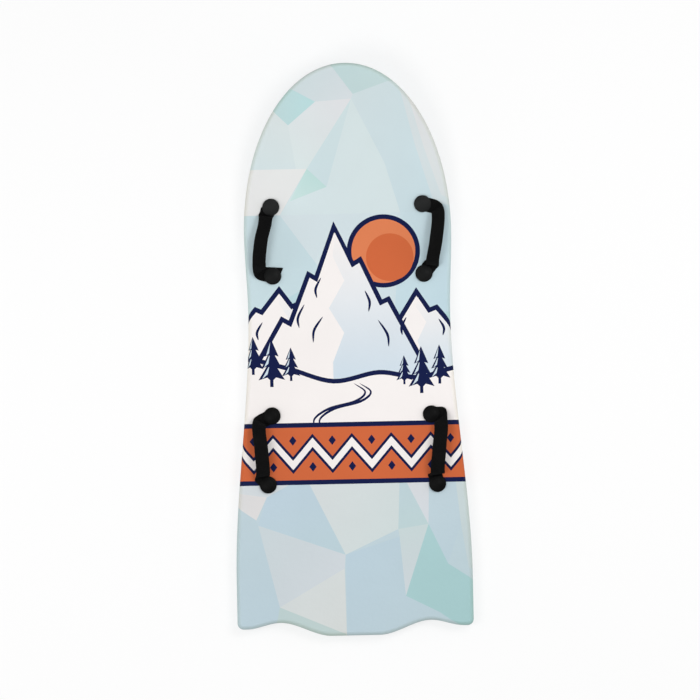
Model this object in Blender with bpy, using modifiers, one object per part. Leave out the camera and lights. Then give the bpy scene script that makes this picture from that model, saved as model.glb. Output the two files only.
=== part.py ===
"""A two-seat foam snow sled, lying flat with its nose towards +Y.

A foam core sits between a printed deck skin, which wraps over the rails, and a slick plastic
bottom sheet. Four webbing hand straps are clamped to the deck. Each strap end is held by a round
cap whose hollow post goes down through the board, and by a flanged screw that comes up into that
post from a pressed dish in the bottom sheet.

The free span of a strap swings about a line under its two caps, while its clamped ends stay flat
on the deck. Each strap is therefore three solids: the swinging span and its two clamped ends.
"""

import math

import bmesh
import bpy
from mathutils import Matrix, Vector

# Plan outline of the board, in metres. The nose is at +Y and the tail at -Y.
LENGTH = 1.000
SHOULDER_HALF = 0.1815
SHOULDER_Y = 0.205
NOSE_POWER = 2.03
WAIST_HALF = 0.1768
WAIST_Y = 0.065
TAIL_HALF = 0.2069
FLARE_END_Y = -0.400
CORNER_RADIUS = 0.0108
TAIL_LIP_Y = -0.486
TAIL_LIP_X = 0.190
TAIL_DIP_Y = -0.4755
TAIL_DIP_X = 0.132
TAIL_BULGE_X = 0.042
# Points along the outline's nose, shoulder, side, tail corner, tail lip and tail dip.
NOSE_STEPS = 14
SHOULDER_STEPS = 3
SIDE_STEPS = 11
CORNER_STEPS = 3
LIP_STEPS = 4
DIP_STEPS = 5

# Thickness and rocker.
THICKNESS = 0.040
NOSE_THICKNESS = 0.030
TAPER_START_Y = 0.290
ROCKER_START_Y = 0.130
ROCKER_LIFT = 0.075

# The layers and the gap that is kept between touching pieces.
SKIN = 0.004
SLICK = 0.0015
GAP = 0.0003
RAIL_INSET = 0.0075
RAIL_DROP = 0.010
CHINE_INSET = 0.003
CHINE_HEIGHT = 0.004

# The rivets that hold the strap ends.
CAP_RADIUS = 0.015
CAP_RIM = 0.0016
CAP_HEIGHT = 0.0042
# The dome of a cap: how far it has dropped at two shares of its radius.
CAP_DOME = {0.50: 0.0005, 0.84: 0.0016}
POST_RADIUS = 0.005
POST_BORE = 0.0032
POST_BORE_DEPTH = 0.024
FLANGE_RADIUS = 0.0175
FLANGE_THICKNESS = 0.002
FLANGE_BEVEL = 0.001
SHANK_RADIUS = 0.0029
SHANK_LENGTH = 0.022
SHANK_POINT = 0.001
SLOT_LENGTH = 0.020
SLOT_WIDTH = 0.0026
SLOT_DEPTH = 0.0011
DISH_RADIUS = 0.018
DISH_DEPTH = 0.0027
DISH_WALL = 0.0025
FLUSH = 0.0004
ROUND_STEPS = 16

# The webbing straps. Their flat ends lie on a deck that curves up a little, hence the wider gap.
WEBBING_WIDTH = 0.025
WEBBING_THICKNESS = 0.002
WEBBING_GAP = 0.0006
END_TAIL = 0.0085
END_REACH = 0.0165
SPAN_HEIGHT = 0.030
SHOULDER_HEIGHT = 0.0205
SHOULDER_RUN_IN = 0.016
SHOULDER_LEAN_IN = 0.003
SHOULDER_YAW = 0.12
SHOULDER_CLIMB = 0.75
RISE_BEND = 1.25
SPAN_BEND = 1.1
RISE_STEPS = 6
SPAN_STEPS = 10
# The clamped end keeps this many of the rise's sections, and the swinging span has the rest.
END_STEPS = 3

# Each strap: side (+1 is +X), distance of its fore and aft caps from the centre line, and their Y.
# Then, for the fore and the aft end, the angle that the webbing leaves its cap at, measured outwards
# from the line between the caps. Then how far outside that line the span runs at its fore shoulder,
# middle and aft shoulder, how many degrees it tilts outwards, and for each end how far outside the
# cap's centre the swing axis passes.
STRAPS = {
    "front_right": {"side": 1, "cap_x": (0.1320, 0.1322), "cap_y": (0.2535, 0.1315), "angles": (75, 38),
                    "offsets": (0.0268, 0.0222, 0.0150), "tilt": 22, "pivots": (0.008, 0.002)},
    "front_left": {"side": -1, "cap_x": (0.1333, 0.1325), "cap_y": (0.2528, 0.1321), "angles": (30, 76),
                   "offsets": (0.0096, 0.0190, 0.0228), "tilt": 18, "pivots": (-0.004, 0.008)},
    "rear_right": {"side": 1, "cap_x": (0.1400, 0.1483), "cap_y": (-0.1148, -0.2366), "angles": (90, -14),
                   "offsets": (0.0150, 0.0081, 0.0020), "tilt": 6, "pivots": (0.006, -0.018)},
    "rear_left": {"side": -1, "cap_x": (0.1388, 0.1480), "cap_y": (-0.1125, -0.2330), "angles": (64, 42),
                  "offsets": (0.0215, 0.0150, 0.0097), "tilt": 12, "pivots": (0.007, 0.002)},
}


def clear_scene():
    for obj in list(bpy.data.objects):
        bpy.data.objects.remove(obj)


def collection(name, parent=None):
    made = bpy.data.collections.new(name)
    (parent or bpy.context.scene.collection).children.link(made)
    return made


def material(name, colour, roughness):
    made = bpy.data.materials.new(name)
    made.use_nodes = True
    shader = made.node_tree.nodes["Principled BSDF"]
    shader.inputs["Base Color"].default_value = (*colour, 1)
    shader.inputs["Roughness"].default_value = roughness
    shader.inputs["Metallic"].default_value = 0
    return made


def smooth(share):
    """0 to 1, with no slope at either end."""
    share = min(max(share, 0), 1)
    return share * share * (3 - 2 * share)


def rocker(y):
    """Height of the gliding surface above the ground."""
    share = max(0, (y - ROCKER_START_Y) / (LENGTH / 2 - ROCKER_START_Y))
    return ROCKER_LIFT * share**2


def slope(y):
    """Angle by which the board is tipped up at y."""
    rise = LENGTH / 2 - ROCKER_START_Y
    return math.atan(2 * ROCKER_LIFT * max(0, y - ROCKER_START_Y) / rise**2)


def thickness(y):
    share = (y - TAPER_START_Y) / (LENGTH / 2 - TAPER_START_Y)
    return THICKNESS - (THICKNESS - NOSE_THICKNESS) * smooth(share)


def side_half_width(y):
    """Half width between the shoulder and the tail corner."""
    if y > WAIST_Y:
        return WAIST_HALF + (SHOULDER_HALF - WAIST_HALF) * smooth((y - WAIST_Y) / (SHOULDER_Y - WAIST_Y))
    return WAIST_HALF + (TAIL_HALF - WAIST_HALF) * smooth((WAIST_Y - y) / (WAIST_Y - FLARE_END_Y))


def tail_edge(x):
    """Y of the wavy tail edge: a bulge in the middle, then a dip and a lip on each side."""
    if x > TAIL_DIP_X:
        return TAIL_DIP_Y + (TAIL_LIP_Y - TAIL_DIP_Y) * smooth((x - TAIL_DIP_X) / (TAIL_LIP_X - TAIL_DIP_X))
    return -LENGTH / 2 + (TAIL_DIP_Y + LENGTH / 2) * smooth((x - TAIL_BULGE_X) / (TAIL_DIP_X - TAIL_BULGE_X))


def spread(start, end, steps):
    """Evenly spaced values after start, up to and with end."""
    return [start + (end - start) * (i + 1) / steps for i in range(steps)]


def half_outline():
    """The right half of the plan outline, from the nose tip to the middle of the tail."""
    power = 2 / NOSE_POWER
    points = []
    for i in range(NOSE_STEPS):
        angle = math.pi / 2 * i / NOSE_STEPS
        x = SHOULDER_HALF * math.sin(angle) ** power
        y = SHOULDER_Y + (LENGTH / 2 - SHOULDER_Y) * math.cos(angle) ** power
        points.append((x, y))
    points.append((SHOULDER_HALF, SHOULDER_Y))
    corner_y = TAIL_LIP_Y + CORNER_RADIUS
    shoulder = spread(SHOULDER_Y, ROCKER_START_Y, SHOULDER_STEPS)
    for y in shoulder + spread(ROCKER_START_Y, corner_y, SIDE_STEPS):
        points.append((side_half_width(y), y))
    for angle in spread(0, math.pi / 2, CORNER_STEPS):
        x = TAIL_HALF - CORNER_RADIUS * (1 - math.cos(angle))
        points.append((x, corner_y - CORNER_RADIUS * math.sin(angle)))
    corner_x = TAIL_HALF - CORNER_RADIUS
    lip = spread(corner_x, TAIL_DIP_X, LIP_STEPS)
    dip = spread(TAIL_DIP_X, TAIL_BULGE_X, DIP_STEPS)
    for x in lip + dip + [TAIL_BULGE_X / 2, 0]:
        points.append((x, tail_edge(x)))
    return points


def outline():
    """The whole outline, down the right side and back up the left one."""
    right = half_outline()
    return right + [(-x, y) for x, y in reversed(right[1:-1])]


def inset_outline(points, distance):
    """The outline moved inwards by a distance."""
    moved = []
    count = len(points)
    for i, point in enumerate(points):
        before = Vector(points[i]) - Vector(points[i - 1])
        after = Vector(points[(i + 1) % count]) - Vector(points[i])
        inward = Vector((before.y, -before.x)).normalized() + Vector((after.y, -after.x)).normalized()
        inward.normalize()
        widen = inward.dot(Vector((before.y, -before.x)).normalized())
        moved.append(Vector(point) + inward * distance / widen)
    return moved


def cap_faces(mesh, ring):
    """Closes a ring: strips across the curved nose, and one flat face behind it."""
    half = len(ring) // 2
    first = 0
    while ring[first].co.y > ROCKER_START_Y + 0.001:
        left, right = ring[-first - 1], ring[first + 1]
        strip = [ring[first], right, left] if first == 0 else [ring[first], right, left, ring[-first]]
        mesh.faces.new(strip)
        first += 1
    mesh.faces.new(ring[first:half] + ring[half:len(ring) - first + 1])


def board_layer(name, rings, finish, parts):
    """A closed solid of stacked rings, capped at both ends.

    Each ring is the outline's inset, whether its height is from the bottom (0) or the top (1) of the
    board, and that height.
    """
    mesh = bmesh.new()
    points = outline()
    stack = []
    for inset, from_top, height in rings:
        ring = []
        for x, y in inset_outline(points, inset):
            ring.append(mesh.verts.new((x, y, rocker(y) + from_top * thickness(y) + height)))
        stack.append(ring)
    for lower, upper in zip(stack, stack[1:]):
        for i in range(len(points)):
            mesh.faces.new([lower[i - 1], lower[i], upper[i], upper[i - 1]])
    cap_faces(mesh, stack[0])
    cap_faces(mesh, stack[-1])
    bmesh.ops.recalc_face_normals(mesh, faces=mesh.faces)
    return object_from(mesh, name, finish, parts)


def object_from(mesh, name, finish, group):
    data = bpy.data.meshes.new(name)
    mesh.to_mesh(data)
    mesh.free()
    made = bpy.data.objects.new(name, data)
    group.objects.link(made)
    if finish:
        data.materials.append(finish)
    return made


def turned(name, profile, finish, group, place):
    """A round piece: a profile of (radius, height) that runs from the top down its outer side."""
    mesh = bmesh.new()
    corners = [mesh.verts.new((radius, 0, height)) for radius, height in profile]
    for upper, lower in zip(corners, corners[1:]):
        mesh.edges.new((upper, lower))
    made = object_from(mesh, name, finish, group)
    screw = made.modifiers.new("turn", "SCREW")
    screw.steps = screw.render_steps = ROUND_STEPS
    screw.use_merge_vertices = True
    screw.merge_threshold = 0.00001
    made.matrix_world = place
    return made


def hide_cutter(obj):
    obj.hide_render = True
    obj.display_type = "WIRE"


def drill(name, radius, top, bottom, group, place):
    """A cylindrical cutter between two heights above the deck."""
    mesh = bmesh.new()
    middle = Matrix.Translation((0, 0, (top + bottom) / 2))
    bmesh.ops.create_cone(mesh, cap_ends=True, segments=ROUND_STEPS, radius1=radius, radius2=radius,
                          depth=top - bottom, matrix=middle)
    made = object_from(mesh, name, None, group)
    made.matrix_world = place
    hide_cutter(made)


def counterbore(name, hole, wide, shelf, top, bottom, group, place):
    """A cutter for a hole down from the top that widens below a shelf."""
    profile = [(0, top), (hole, top), (hole, shelf), (wide, shelf), (wide, bottom), (0, bottom)]
    hide_cutter(turned(name, profile, None, group, place))


def boolean(obj, group, operation):
    modifier = obj.modifiers.new(group.name, "BOOLEAN")
    modifier.operand_type = "COLLECTION"
    modifier.collection = group
    modifier.operation = operation
    modifier.solver = "EXACT"


def rivet_place(strap, end):
    """Where a cap sits: a point on the deck, with local Z square to the deck. End 0 is fore, 1 is aft."""
    x = strap["side"] * strap["cap_x"][end]
    y = strap["cap_y"][end]
    return Matrix.Translation((x, y, rocker(y) + thickness(y))) @ Matrix.Rotation(slope(y), 4, "X")


def depth_at(place):
    """Distance from the deck down to the gliding surface, square to both."""
    y = place.translation.y
    return thickness(y) * math.cos(slope(y))


def strap_frame(strap):
    """Origin midway between the two caps, X towards the fore cap, Y outwards, Z up."""
    fore, aft = (rivet_place(strap, end).translation for end in (0, 1))
    along = (fore - aft).normalized()
    outward = Vector((strap["side"], 0, 0))
    outward = (outward - along * outward.dot(along)).normalized()
    up = along.cross(outward) * strap["side"] * -1
    if up.z < 0:
        up.negate()
    frame = Matrix((along, outward, up)).transposed().to_4x4()
    frame.translation = (fore + aft) / 2
    return frame, (fore - aft).length / 2


def flat_section(strap, end, reach):
    """Inner and outer edge of the webbing where it lies on the deck, at a distance from the cap's axis."""
    angle = math.radians(strap["angles"][end])
    towards_other = -1 if end == 0 else 1
    along = Vector((strap["side"] * math.sin(angle), towards_other * math.cos(angle), 0))
    across = Vector((strap["side"] * math.cos(angle), -towards_other * math.sin(angle), 0))
    middle = along * reach + Vector((0, 0, WEBBING_GAP + WEBBING_THICKNESS / 2))
    place = rivet_place(strap, end)
    edges = [place @ (middle + across * share * WEBBING_WIDTH / 2) for share in (-1, 1)]
    return edges, place.to_3x3() @ along


def swing_axis(strap):
    """The line that the span swings about: a point midway on it, and its direction.

    It runs through the middle of the webbing's thickness and passes each cap's centre at its pivot
    offset. It points so that a positive turn lifts the span inwards.
    """
    points = []
    for end, offset in enumerate(strap["pivots"]):
        point = Vector((strap["side"] * offset, 0, WEBBING_GAP + WEBBING_THICKNESS / 2))
        points.append(rivet_place(strap, end) @ point)
    fore, aft = points
    return (fore + aft) / 2, (aft - fore).normalized() * strap["side"]


def tilted_section(strap, frame, middle, yaw):
    """Inner and outer edge of the span, tilted outwards and turned by the yaw towards its cap."""
    tilt = math.radians(strap["tilt"])
    level = math.cos(tilt)
    across = Vector((math.sin(yaw) * level, math.cos(yaw) * level, -math.sin(tilt)))
    return [frame @ (middle + across * share * WEBBING_WIDTH / 2) for share in (-1, 1)]


def shoulder_section(strap, end):
    """Where the webbing has risen from the deck and turned along the board."""
    frame, half = strap_frame(strap)
    angle = math.radians(strap["angles"][end])
    sign = 1 if end == 0 else -1
    yaw = SHOULDER_YAW * angle
    run_in = SHOULDER_RUN_IN + SHOULDER_LEAN_IN * math.cos(angle)
    offset = strap["offsets"][0 if end == 0 else 2]
    middle = Vector((sign * (half - run_in), offset, SHOULDER_HEIGHT))
    travel = Vector((-sign * math.cos(yaw), math.sin(yaw) / 4, SHOULDER_CLIMB)).normalized()
    return tilted_section(strap, frame, middle, sign * yaw), frame.to_3x3() @ travel


def middle_section(strap):
    """The highest section, halfway between the two shoulders."""
    frame, half = strap_frame(strap)
    fore_offset, middle_offset, aft_offset = strap["offsets"]
    middle = Vector((0, middle_offset, SPAN_HEIGHT))
    travel = Vector((-1, (aft_offset - fore_offset) / (2 * half - 2 * SHOULDER_RUN_IN), 0)).normalized()
    return tilted_section(strap, frame, middle, 0), frame.to_3x3() @ travel


def curve_point(start, leave, end, arrive, share):
    """A point on the cubic curve that leaves one point and arrives at another along given vectors."""
    a = start
    b = start + leave / 3
    c = end - arrive / 3
    rest = 1 - share
    return a * rest**3 + b * 3 * rest**2 * share + c * 3 * rest * share**2 + end * share**3


def joined_sections(first, second, steps, stretch):
    """Sections from one to the next, each an (inner, outer) pair. The first section itself is left out."""
    (first_edges, first_travel), (second_edges, second_travel) = first, second
    sections = []
    for share in spread(0, 1, steps):
        pair = []
        for a, b in zip(first_edges, second_edges):
            reach = (b - a).length * stretch
            pair.append(curve_point(a, first_travel * reach, b, second_travel * reach, share))
        sections.append(pair)
    return sections


def rise_sections(strap, end):
    """From the edge of the flat end up to the shoulder."""
    foot = flat_section(strap, end, END_REACH)
    return [foot[0]] + joined_sections(foot, shoulder_section(strap, end), RISE_STEPS, RISE_BEND)


def span_sections(strap):
    """From the fore shoulder over the middle to the aft shoulder."""
    fore_edges, fore_travel = shoulder_section(strap, 0)
    aft_edges, aft_travel = shoulder_section(strap, 1)
    middle = middle_section(strap)
    half = SPAN_STEPS // 2
    first = joined_sections((fore_edges, fore_travel), middle, half, SPAN_BEND)
    return first + joined_sections(middle, (aft_edges, -aft_travel), half, SPAN_BEND)


def all_sections(strap):
    """Every section of the rises and the span, from the fore end to the aft end."""
    fore = rise_sections(strap, 0)
    aft = rise_sections(strap, 1)
    return fore + span_sections(strap)[:-1] + list(reversed(aft))


def ribbon(name, sections, finish, parts):
    """Webbing through the given sections: an open strip with its thickness from Solidify."""
    mesh = bmesh.new()
    rows = [[mesh.verts.new(point) for point in pair] for pair in sections]
    for one, two in zip(rows, rows[1:]):
        mesh.faces.new([one[0], one[1], two[1], two[0]])
    bmesh.ops.recalc_face_normals(mesh, faces=mesh.faces)
    made = object_from(mesh, name, finish, parts)
    solidify = made.modifiers.new("webbing", "SOLIDIFY")
    solidify.thickness = WEBBING_THICKNESS
    solidify.offset = 0
    return made


def between(one, two):
    """The section midway between two sections."""
    return [(a + b) / 2 for a, b in zip(one, two)]


def pull_back(section, next_section):
    """The section moved half a gap towards the next one, which leaves a gap at a split."""
    return [a + (b - a).normalized() * GAP / 2 for a, b in zip(section, next_section)]


def strap_pieces(name, strap, finish, parts, cutters):
    """The swinging span, and the two ends that stay clamped under the caps."""
    sections = all_sections(strap)
    span = sections[END_STEPS:-END_STEPS]
    for end, label in enumerate(("fore", "aft")):
        ordered = sections if end == 0 else list(reversed(sections))
        last_kept, first_free = ordered[END_STEPS - 1], ordered[END_STEPS]
        split = between(last_kept, first_free)
        span.insert(0 if end == 0 else len(span), pull_back(split, first_free))
        tail = flat_section(strap, end, -END_TAIL)[0]
        kept = [tail] + ordered[:END_STEPS] + [pull_back(split, last_kept)]
        clamped = ribbon(f"{name}_strap_{label}_end", kept, finish, parts)
        group = collection(f"{name}_{label}_end_hole", cutters)
        reach = 2 * (WEBBING_GAP + WEBBING_THICKNESS)
        drill(f"{name}_{label}_end_cutter", POST_RADIUS + GAP, reach, -reach, group, rivet_place(strap, end))
        boolean(clamped, group, "DIFFERENCE")
    moving = ribbon(name + "_strap", span, finish, parts)
    pivot, _ = swing_axis(strap)
    moving.data.transform(Matrix.Translation(-pivot))
    moving.location = pivot


def cap(name, place, finish, parts):
    """A domed head over the webbing, with a hollow post that ends above the pressed dish."""
    under = WEBBING_GAP + WEBBING_THICKNESS + GAP
    top = under + CAP_HEIGHT
    rim_top = under + CAP_RIM
    bottom = -depth_at(place) + DISH_DEPTH + SLICK + 2 * GAP
    dome = [(CAP_RADIUS * share, top - drop) for share, drop in CAP_DOME.items()]
    post = [
        (CAP_RADIUS, rim_top),
        (CAP_RADIUS, under),
        (POST_RADIUS, under),
        (POST_RADIUS, bottom),
        (POST_BORE, bottom),
        (POST_BORE, bottom + POST_BORE_DEPTH),
        (0, bottom + POST_BORE_DEPTH),
    ]
    turned(name, [(0, top)] + dome + post, finish, parts, place)


def screw(name, place, finish, parts, cutters):
    """A flanged screw that comes up from the bottom, with a coin slot across its flange."""
    depth = depth_at(place)
    foot = -depth + FLUSH
    seat = foot + FLANGE_THICKNESS
    tip = seat + SHANK_LENGTH
    profile = [
        (0, tip),
        (SHANK_RADIUS - SHANK_POINT, tip),
        (SHANK_RADIUS, tip - SHANK_POINT),
        (SHANK_RADIUS, seat),
        (FLANGE_RADIUS, seat),
        (FLANGE_RADIUS, foot + FLANGE_BEVEL),
        (FLANGE_RADIUS - FLANGE_BEVEL, foot),
        (0, foot),
    ]
    made = turned(name, profile, finish, parts, place)
    group = collection(name + "_slot", cutters)
    mesh = bmesh.new()
    size = Matrix.Diagonal((SLOT_LENGTH, SLOT_WIDTH, 2 * SLOT_DEPTH, 1))
    bmesh.ops.create_cube(mesh, size=1, matrix=Matrix.Translation((0, 0, foot)) @ size)
    slot = object_from(mesh, name + "_slot_cutter", None, group)
    slot.matrix_world = place
    hide_cutter(slot)
    boolean(made, group, "DIFFERENCE")


def rail_arc(depth, steps):
    """Rings round the rail, a given depth inside its surface, from the deck down to the side wall."""
    arc = []
    for i in range(steps + 1):
        angle = math.pi / 2 * (1 - i / steps)
        inset = RAIL_INSET - (RAIL_INSET - depth) * math.cos(angle)
        drop = RAIL_DROP - (RAIL_DROP - depth) * math.sin(angle)
        arc.append((inset, 1, -drop))
    return arc


def deck_skin(finish, parts, places, cutters):
    """Printed skin: the deck and the side walls in one piece, open underneath."""
    seam = CHINE_HEIGHT + GAP
    outer = rail_arc(0, 3) + [(0, 0, seam)]
    inner = rail_arc(SKIN, 2) + [(SKIN, 0, seam)]
    made = board_layer("deck_skin", outer + list(reversed(inner)), finish, parts)
    group = collection("deck_skin_holes", cutters)
    for i, place in enumerate(places):
        drill(f"deck_hole_{i}", POST_RADIUS + GAP, SKIN, -2 * SKIN, group, place)
    boolean(made, group, "DIFFERENCE")


def foam_core(finish, parts, places, cutters):
    """Foam block inside the skin, drilled for the posts and counterbored for the dishes."""
    side = SKIN + GAP
    made = board_layer("foam_core", rail_arc(side, 2) + [(side, 0, SLICK + GAP)], finish, parts)
    group = collection("foam_core_holes", cutters)
    for i, place in enumerate(places):
        bottom = -depth_at(place)
        shelf = bottom + DISH_DEPTH + SLICK + GAP
        wide = DISH_RADIUS + DISH_WALL + GAP
        counterbore(f"core_hole_{i}", POST_RADIUS + GAP, wide, shelf, 0, bottom - SKIN, group, place)
    boolean(made, group, "DIFFERENCE")


def slick_bottom(finish, parts, places, cutters):
    """Gliding sheet with turned-up edges, and a dish pressed in it for each screw."""
    outer = [(CHINE_INSET, 0, 0), (CHINE_INSET * 0.3, 0, CHINE_HEIGHT * 0.35), (0, 0, CHINE_HEIGHT)]
    inner = [(SLICK, 0, CHINE_HEIGHT), (CHINE_INSET, 0, SLICK)]
    made = board_layer("slick_bottom", outer + inner, finish, parts)
    bosses = collection("slick_dishes", cutters)
    holes = collection("slick_holes", cutters)
    for i, place in enumerate(places):
        bottom = -depth_at(place)
        shelf = bottom + DISH_DEPTH
        drill(f"slick_dish_{i}", DISH_RADIUS + DISH_WALL, shelf + SLICK, bottom + SLICK / 2, bosses, place)
        counterbore(f"slick_hole_{i}", SHANK_RADIUS + GAP, DISH_RADIUS, shelf, shelf + SKIN, bottom - SKIN,
                    holes, place)
    boolean(made, bosses, "UNION")
    boolean(made, holes, "DIFFERENCE")


def main():
    clear_scene()
    parts = collection("snow_sled")
    cutters = collection("cutters")
    film = material("printed_film", (0.62, 0.76, 0.80), 0.45)
    foam = material("white_foam", (0.90, 0.90, 0.88), 0.90)
    sheet = material("slick_sheet", (0.42, 0.66, 0.74), 0.25)
    moulded = material("black_plastic", (0.030, 0.031, 0.031), 0.45)
    webbing = material("black_webbing", (0.012, 0.012, 0.012), 0.80)

    places = [rivet_place(strap, end) for strap in STRAPS.values() for end in (0, 1)]
    slick_bottom(sheet, parts, places, cutters)
    foam_core(foam, parts, places, cutters)
    deck_skin(film, parts, places, cutters)
    for name, strap in STRAPS.items():
        strap_pieces(name, strap, webbing, parts, cutters)
        for end, label in enumerate(("fore", "aft")):
            place = rivet_place(strap, end)
            cap(f"{name}_{label}_cap", place, moulded, parts)
            screw(f"{name}_{label}_screw", place, moulded, parts, cutters)


main()
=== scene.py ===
"""The looks of a two-seat foam snow sled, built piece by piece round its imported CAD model."""

import math

import bmesh
import bpy
import numpy as np
from mathutils import Matrix, Vector
from mathutils.geometry import delaunay_2d_cdt
from mathutils.kdtree import KDTree


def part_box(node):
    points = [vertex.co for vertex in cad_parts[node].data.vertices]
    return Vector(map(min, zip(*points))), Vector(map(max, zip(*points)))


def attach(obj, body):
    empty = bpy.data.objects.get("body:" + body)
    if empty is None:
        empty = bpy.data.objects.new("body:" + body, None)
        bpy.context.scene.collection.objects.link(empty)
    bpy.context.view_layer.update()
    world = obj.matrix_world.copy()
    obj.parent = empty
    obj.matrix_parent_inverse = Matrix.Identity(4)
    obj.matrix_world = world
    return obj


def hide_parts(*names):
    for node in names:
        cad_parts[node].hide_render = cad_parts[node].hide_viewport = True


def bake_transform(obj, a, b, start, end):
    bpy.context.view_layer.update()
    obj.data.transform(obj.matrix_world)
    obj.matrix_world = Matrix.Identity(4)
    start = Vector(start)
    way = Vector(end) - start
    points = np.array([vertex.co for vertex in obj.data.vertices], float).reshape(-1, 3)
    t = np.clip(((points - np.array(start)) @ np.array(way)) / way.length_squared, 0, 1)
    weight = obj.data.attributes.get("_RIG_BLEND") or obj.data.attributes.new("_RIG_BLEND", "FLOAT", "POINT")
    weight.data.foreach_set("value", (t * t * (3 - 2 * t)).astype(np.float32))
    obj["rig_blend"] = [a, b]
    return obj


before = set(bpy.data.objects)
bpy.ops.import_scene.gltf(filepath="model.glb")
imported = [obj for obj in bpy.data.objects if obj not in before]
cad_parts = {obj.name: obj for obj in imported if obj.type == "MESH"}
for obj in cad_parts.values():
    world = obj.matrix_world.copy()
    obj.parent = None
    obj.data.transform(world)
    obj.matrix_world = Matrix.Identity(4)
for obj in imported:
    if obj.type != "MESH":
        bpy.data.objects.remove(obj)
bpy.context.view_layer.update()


# Foam core
# The core is one block of fused polystyrene beads, cut to the board's outline and drilled for the
# rivets. The skin and the bottom sheet are bonded round it, so that it shows only as a hair line
# between the two at the foot of the rail.

FOAM_WHITE = (235, 236, 232)
# The darker foam colour is painted shade in the crevices between beads.
FOAM_CREVICE_SHADE = (218, 220, 216)
BEAD_SIZE = 0.0032
BEAD_DEPTH = 0.0004
FOAM_ROUGHNESS = 0.85
# How far the painted shade in the crevices between beads reaches into each bead, as a share of the bead.
CREVICE_SHADE_REACH = 0.25


def tint(red, green, blue):
    """A colour chart's values, 0 to 255, as the linear values that shaders take."""
    shares = [channel / 255 for channel in (red, green, blue)]
    return [s / 12.92 if s <= 0.04045 else ((s + 0.055) / 1.055) ** 2.4 for s in shares]


def solid(colour):
    """A colour chart's values as a shader's colour."""
    return (*tint(*colour), 1)


def add(tree, kind, inputs=None, **settings):
    """Adds a node. Its inputs take values, or other nodes' outputs."""
    made = tree.nodes.new(kind)
    for name, value in settings.items():
        setattr(made, name, value)
    for socket, value in (inputs or {}).items():
        if isinstance(value, bpy.types.NodeSocket):
            tree.links.new(value, made.inputs[socket])
        else:
            made.inputs[socket].default_value = value
    return made


def finish(name, colour, roughness):
    """A new material, its node tree and shader, and the coordinates that its detail is laid out in."""
    made = bpy.data.materials.new(name)
    made.use_nodes = True
    shader = made.node_tree.nodes["Principled BSDF"]
    shader.inputs["Base Color"].default_value = solid(colour)
    shader.inputs["Roughness"].default_value = roughness
    place = add(made.node_tree, "ShaderNodeTexCoord").outputs["Object"]
    return made, made.node_tree, shader, place


def cells(tree, place, size, feature="F1"):
    """Rounded cells of a given size: their distance from each centre, or from the edge between two."""
    inputs = {"Vector": place, "Scale": 1 / size}
    return add(tree, "ShaderNodeTexVoronoi", inputs, feature=feature).outputs["Distance"]


def ranged(tree, value, low, high, start=0.3, end=0.7):
    """Spreads a texture's middle values over a range."""
    inputs = {"Value": value, "From Min": start, "From Max": end, "To Min": low, "To Max": high}
    return add(tree, "ShaderNodeMapRange", inputs).outputs["Result"]


def blended(tree, factor, one, two, how="MIX"):
    """A colour between two, or one colour multiplied by another."""
    inputs = {0: factor, 6: one, 7: two}
    return add(tree, "ShaderNodeMix", inputs, data_type="RGBA", blend_type=how).outputs[2]


def varied(tree, shader, factor, one, two):
    """Lets a finish vary between two colours."""
    tree.links.new(blended(tree, factor, solid(one), solid(two)), shader.inputs["Base Color"])


def relief(tree, shader, layers):
    """Stacks relief on a shader. Each layer is a height texture and the depth that it stands for."""
    normal = None
    for height, depth in layers:
        inputs = {"Height": height, "Distance": depth}
        if normal:
            inputs["Normal"] = normal
        normal = add(tree, "ShaderNodeBump", inputs).outputs["Normal"]
    tree.links.new(normal, shader.inputs["Normal"])


foam, tree, shader, place = finish("bead_foam", FOAM_WHITE, FOAM_ROUGHNESS)
bead_edge = cells(tree, place, BEAD_SIZE, "DISTANCE_TO_EDGE")
# Painted shade: each bead darkens towards the crevices at its edge.
crevice_shade = ranged(tree, bead_edge, 0, 1, 0, CREVICE_SHADE_REACH)
varied(tree, shader, crevice_shade, FOAM_CREVICE_SHADE, FOAM_WHITE)
relief(tree, shader, [(bead_edge, BEAD_DEPTH)])
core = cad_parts["foam_core"]
core.data.materials.clear()
core.data.materials.append(foam)


# Slick bottom sheet
# A 1.5 mm sheet of hard polyethylene, pressed to the board's outline with its edge turned up round
# the foot of the rail. Eight round dishes are pressed into it, so that the screw heads don't drag on
# the snow. It is bonded to the core.

sheet_low, sheet_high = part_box("slick_bottom")
NOSE_Y = sheet_high.y
TAIL_Y = sheet_low.y
TAIL_HALF = sheet_high.x
SHOULDER_HALF = 0.1815
SHOULDER_Y = 0.205
NOSE_POWER = 2.03
WAIST_HALF = 0.1768
WAIST_Y = 0.065
FLARE_END_Y = -0.400
CORNER_RADIUS = 0.0108
TAIL_LIP = (0.190, -0.486)
TAIL_DIP = (0.132, -0.4755)
TAIL_BULGE_X = 0.042
OUTLINE_STEP = 0.003
EDGE_STEP = 0.0015
CORNER_STEPS = 10

THICKNESS = 0.040
NOSE_THICKNESS = 0.030
TAPER_START_Y = 0.290
ROCKER_START_Y = 0.130
ROCKER_LIFT = 0.075

SHEET_THICKNESS = 0.0015
CHINE_INSET = 0.003
CHINE_HEIGHT = 0.004
CHINE_ARC = 0.0055
DISH_RADIUS = 0.018
DISH_DEPTH = 0.0027
DISH_EDGE = 0.0008
SHANK_HOLE = 0.0032
SHEET_GRID = 0.010
CHINE_ROWS = 6
DISH_STEPS = 64
HOLE_STEPS = 24
# How near a sheet's loose points come to its drawn lines, as a share of their own spacing.
ROW_CLEARANCE = 0.6
GRID_CLEARANCE = 0.4
WELD = 1e-7

# Distance of each rivet from the centre line, and its Y. Positive distances are on the right, +X.
RIVETS = {
    "front_right": ((0.1320, 0.2535), (0.1322, 0.1315)),
    "front_left": ((-0.1333, 0.2528), (-0.1325, 0.1321)),
    "rear_right": ((0.1400, -0.1148), (0.1483, -0.2366)),
    "rear_left": ((-0.1388, -0.1125), (-0.1480, -0.2330)),
}

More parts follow.
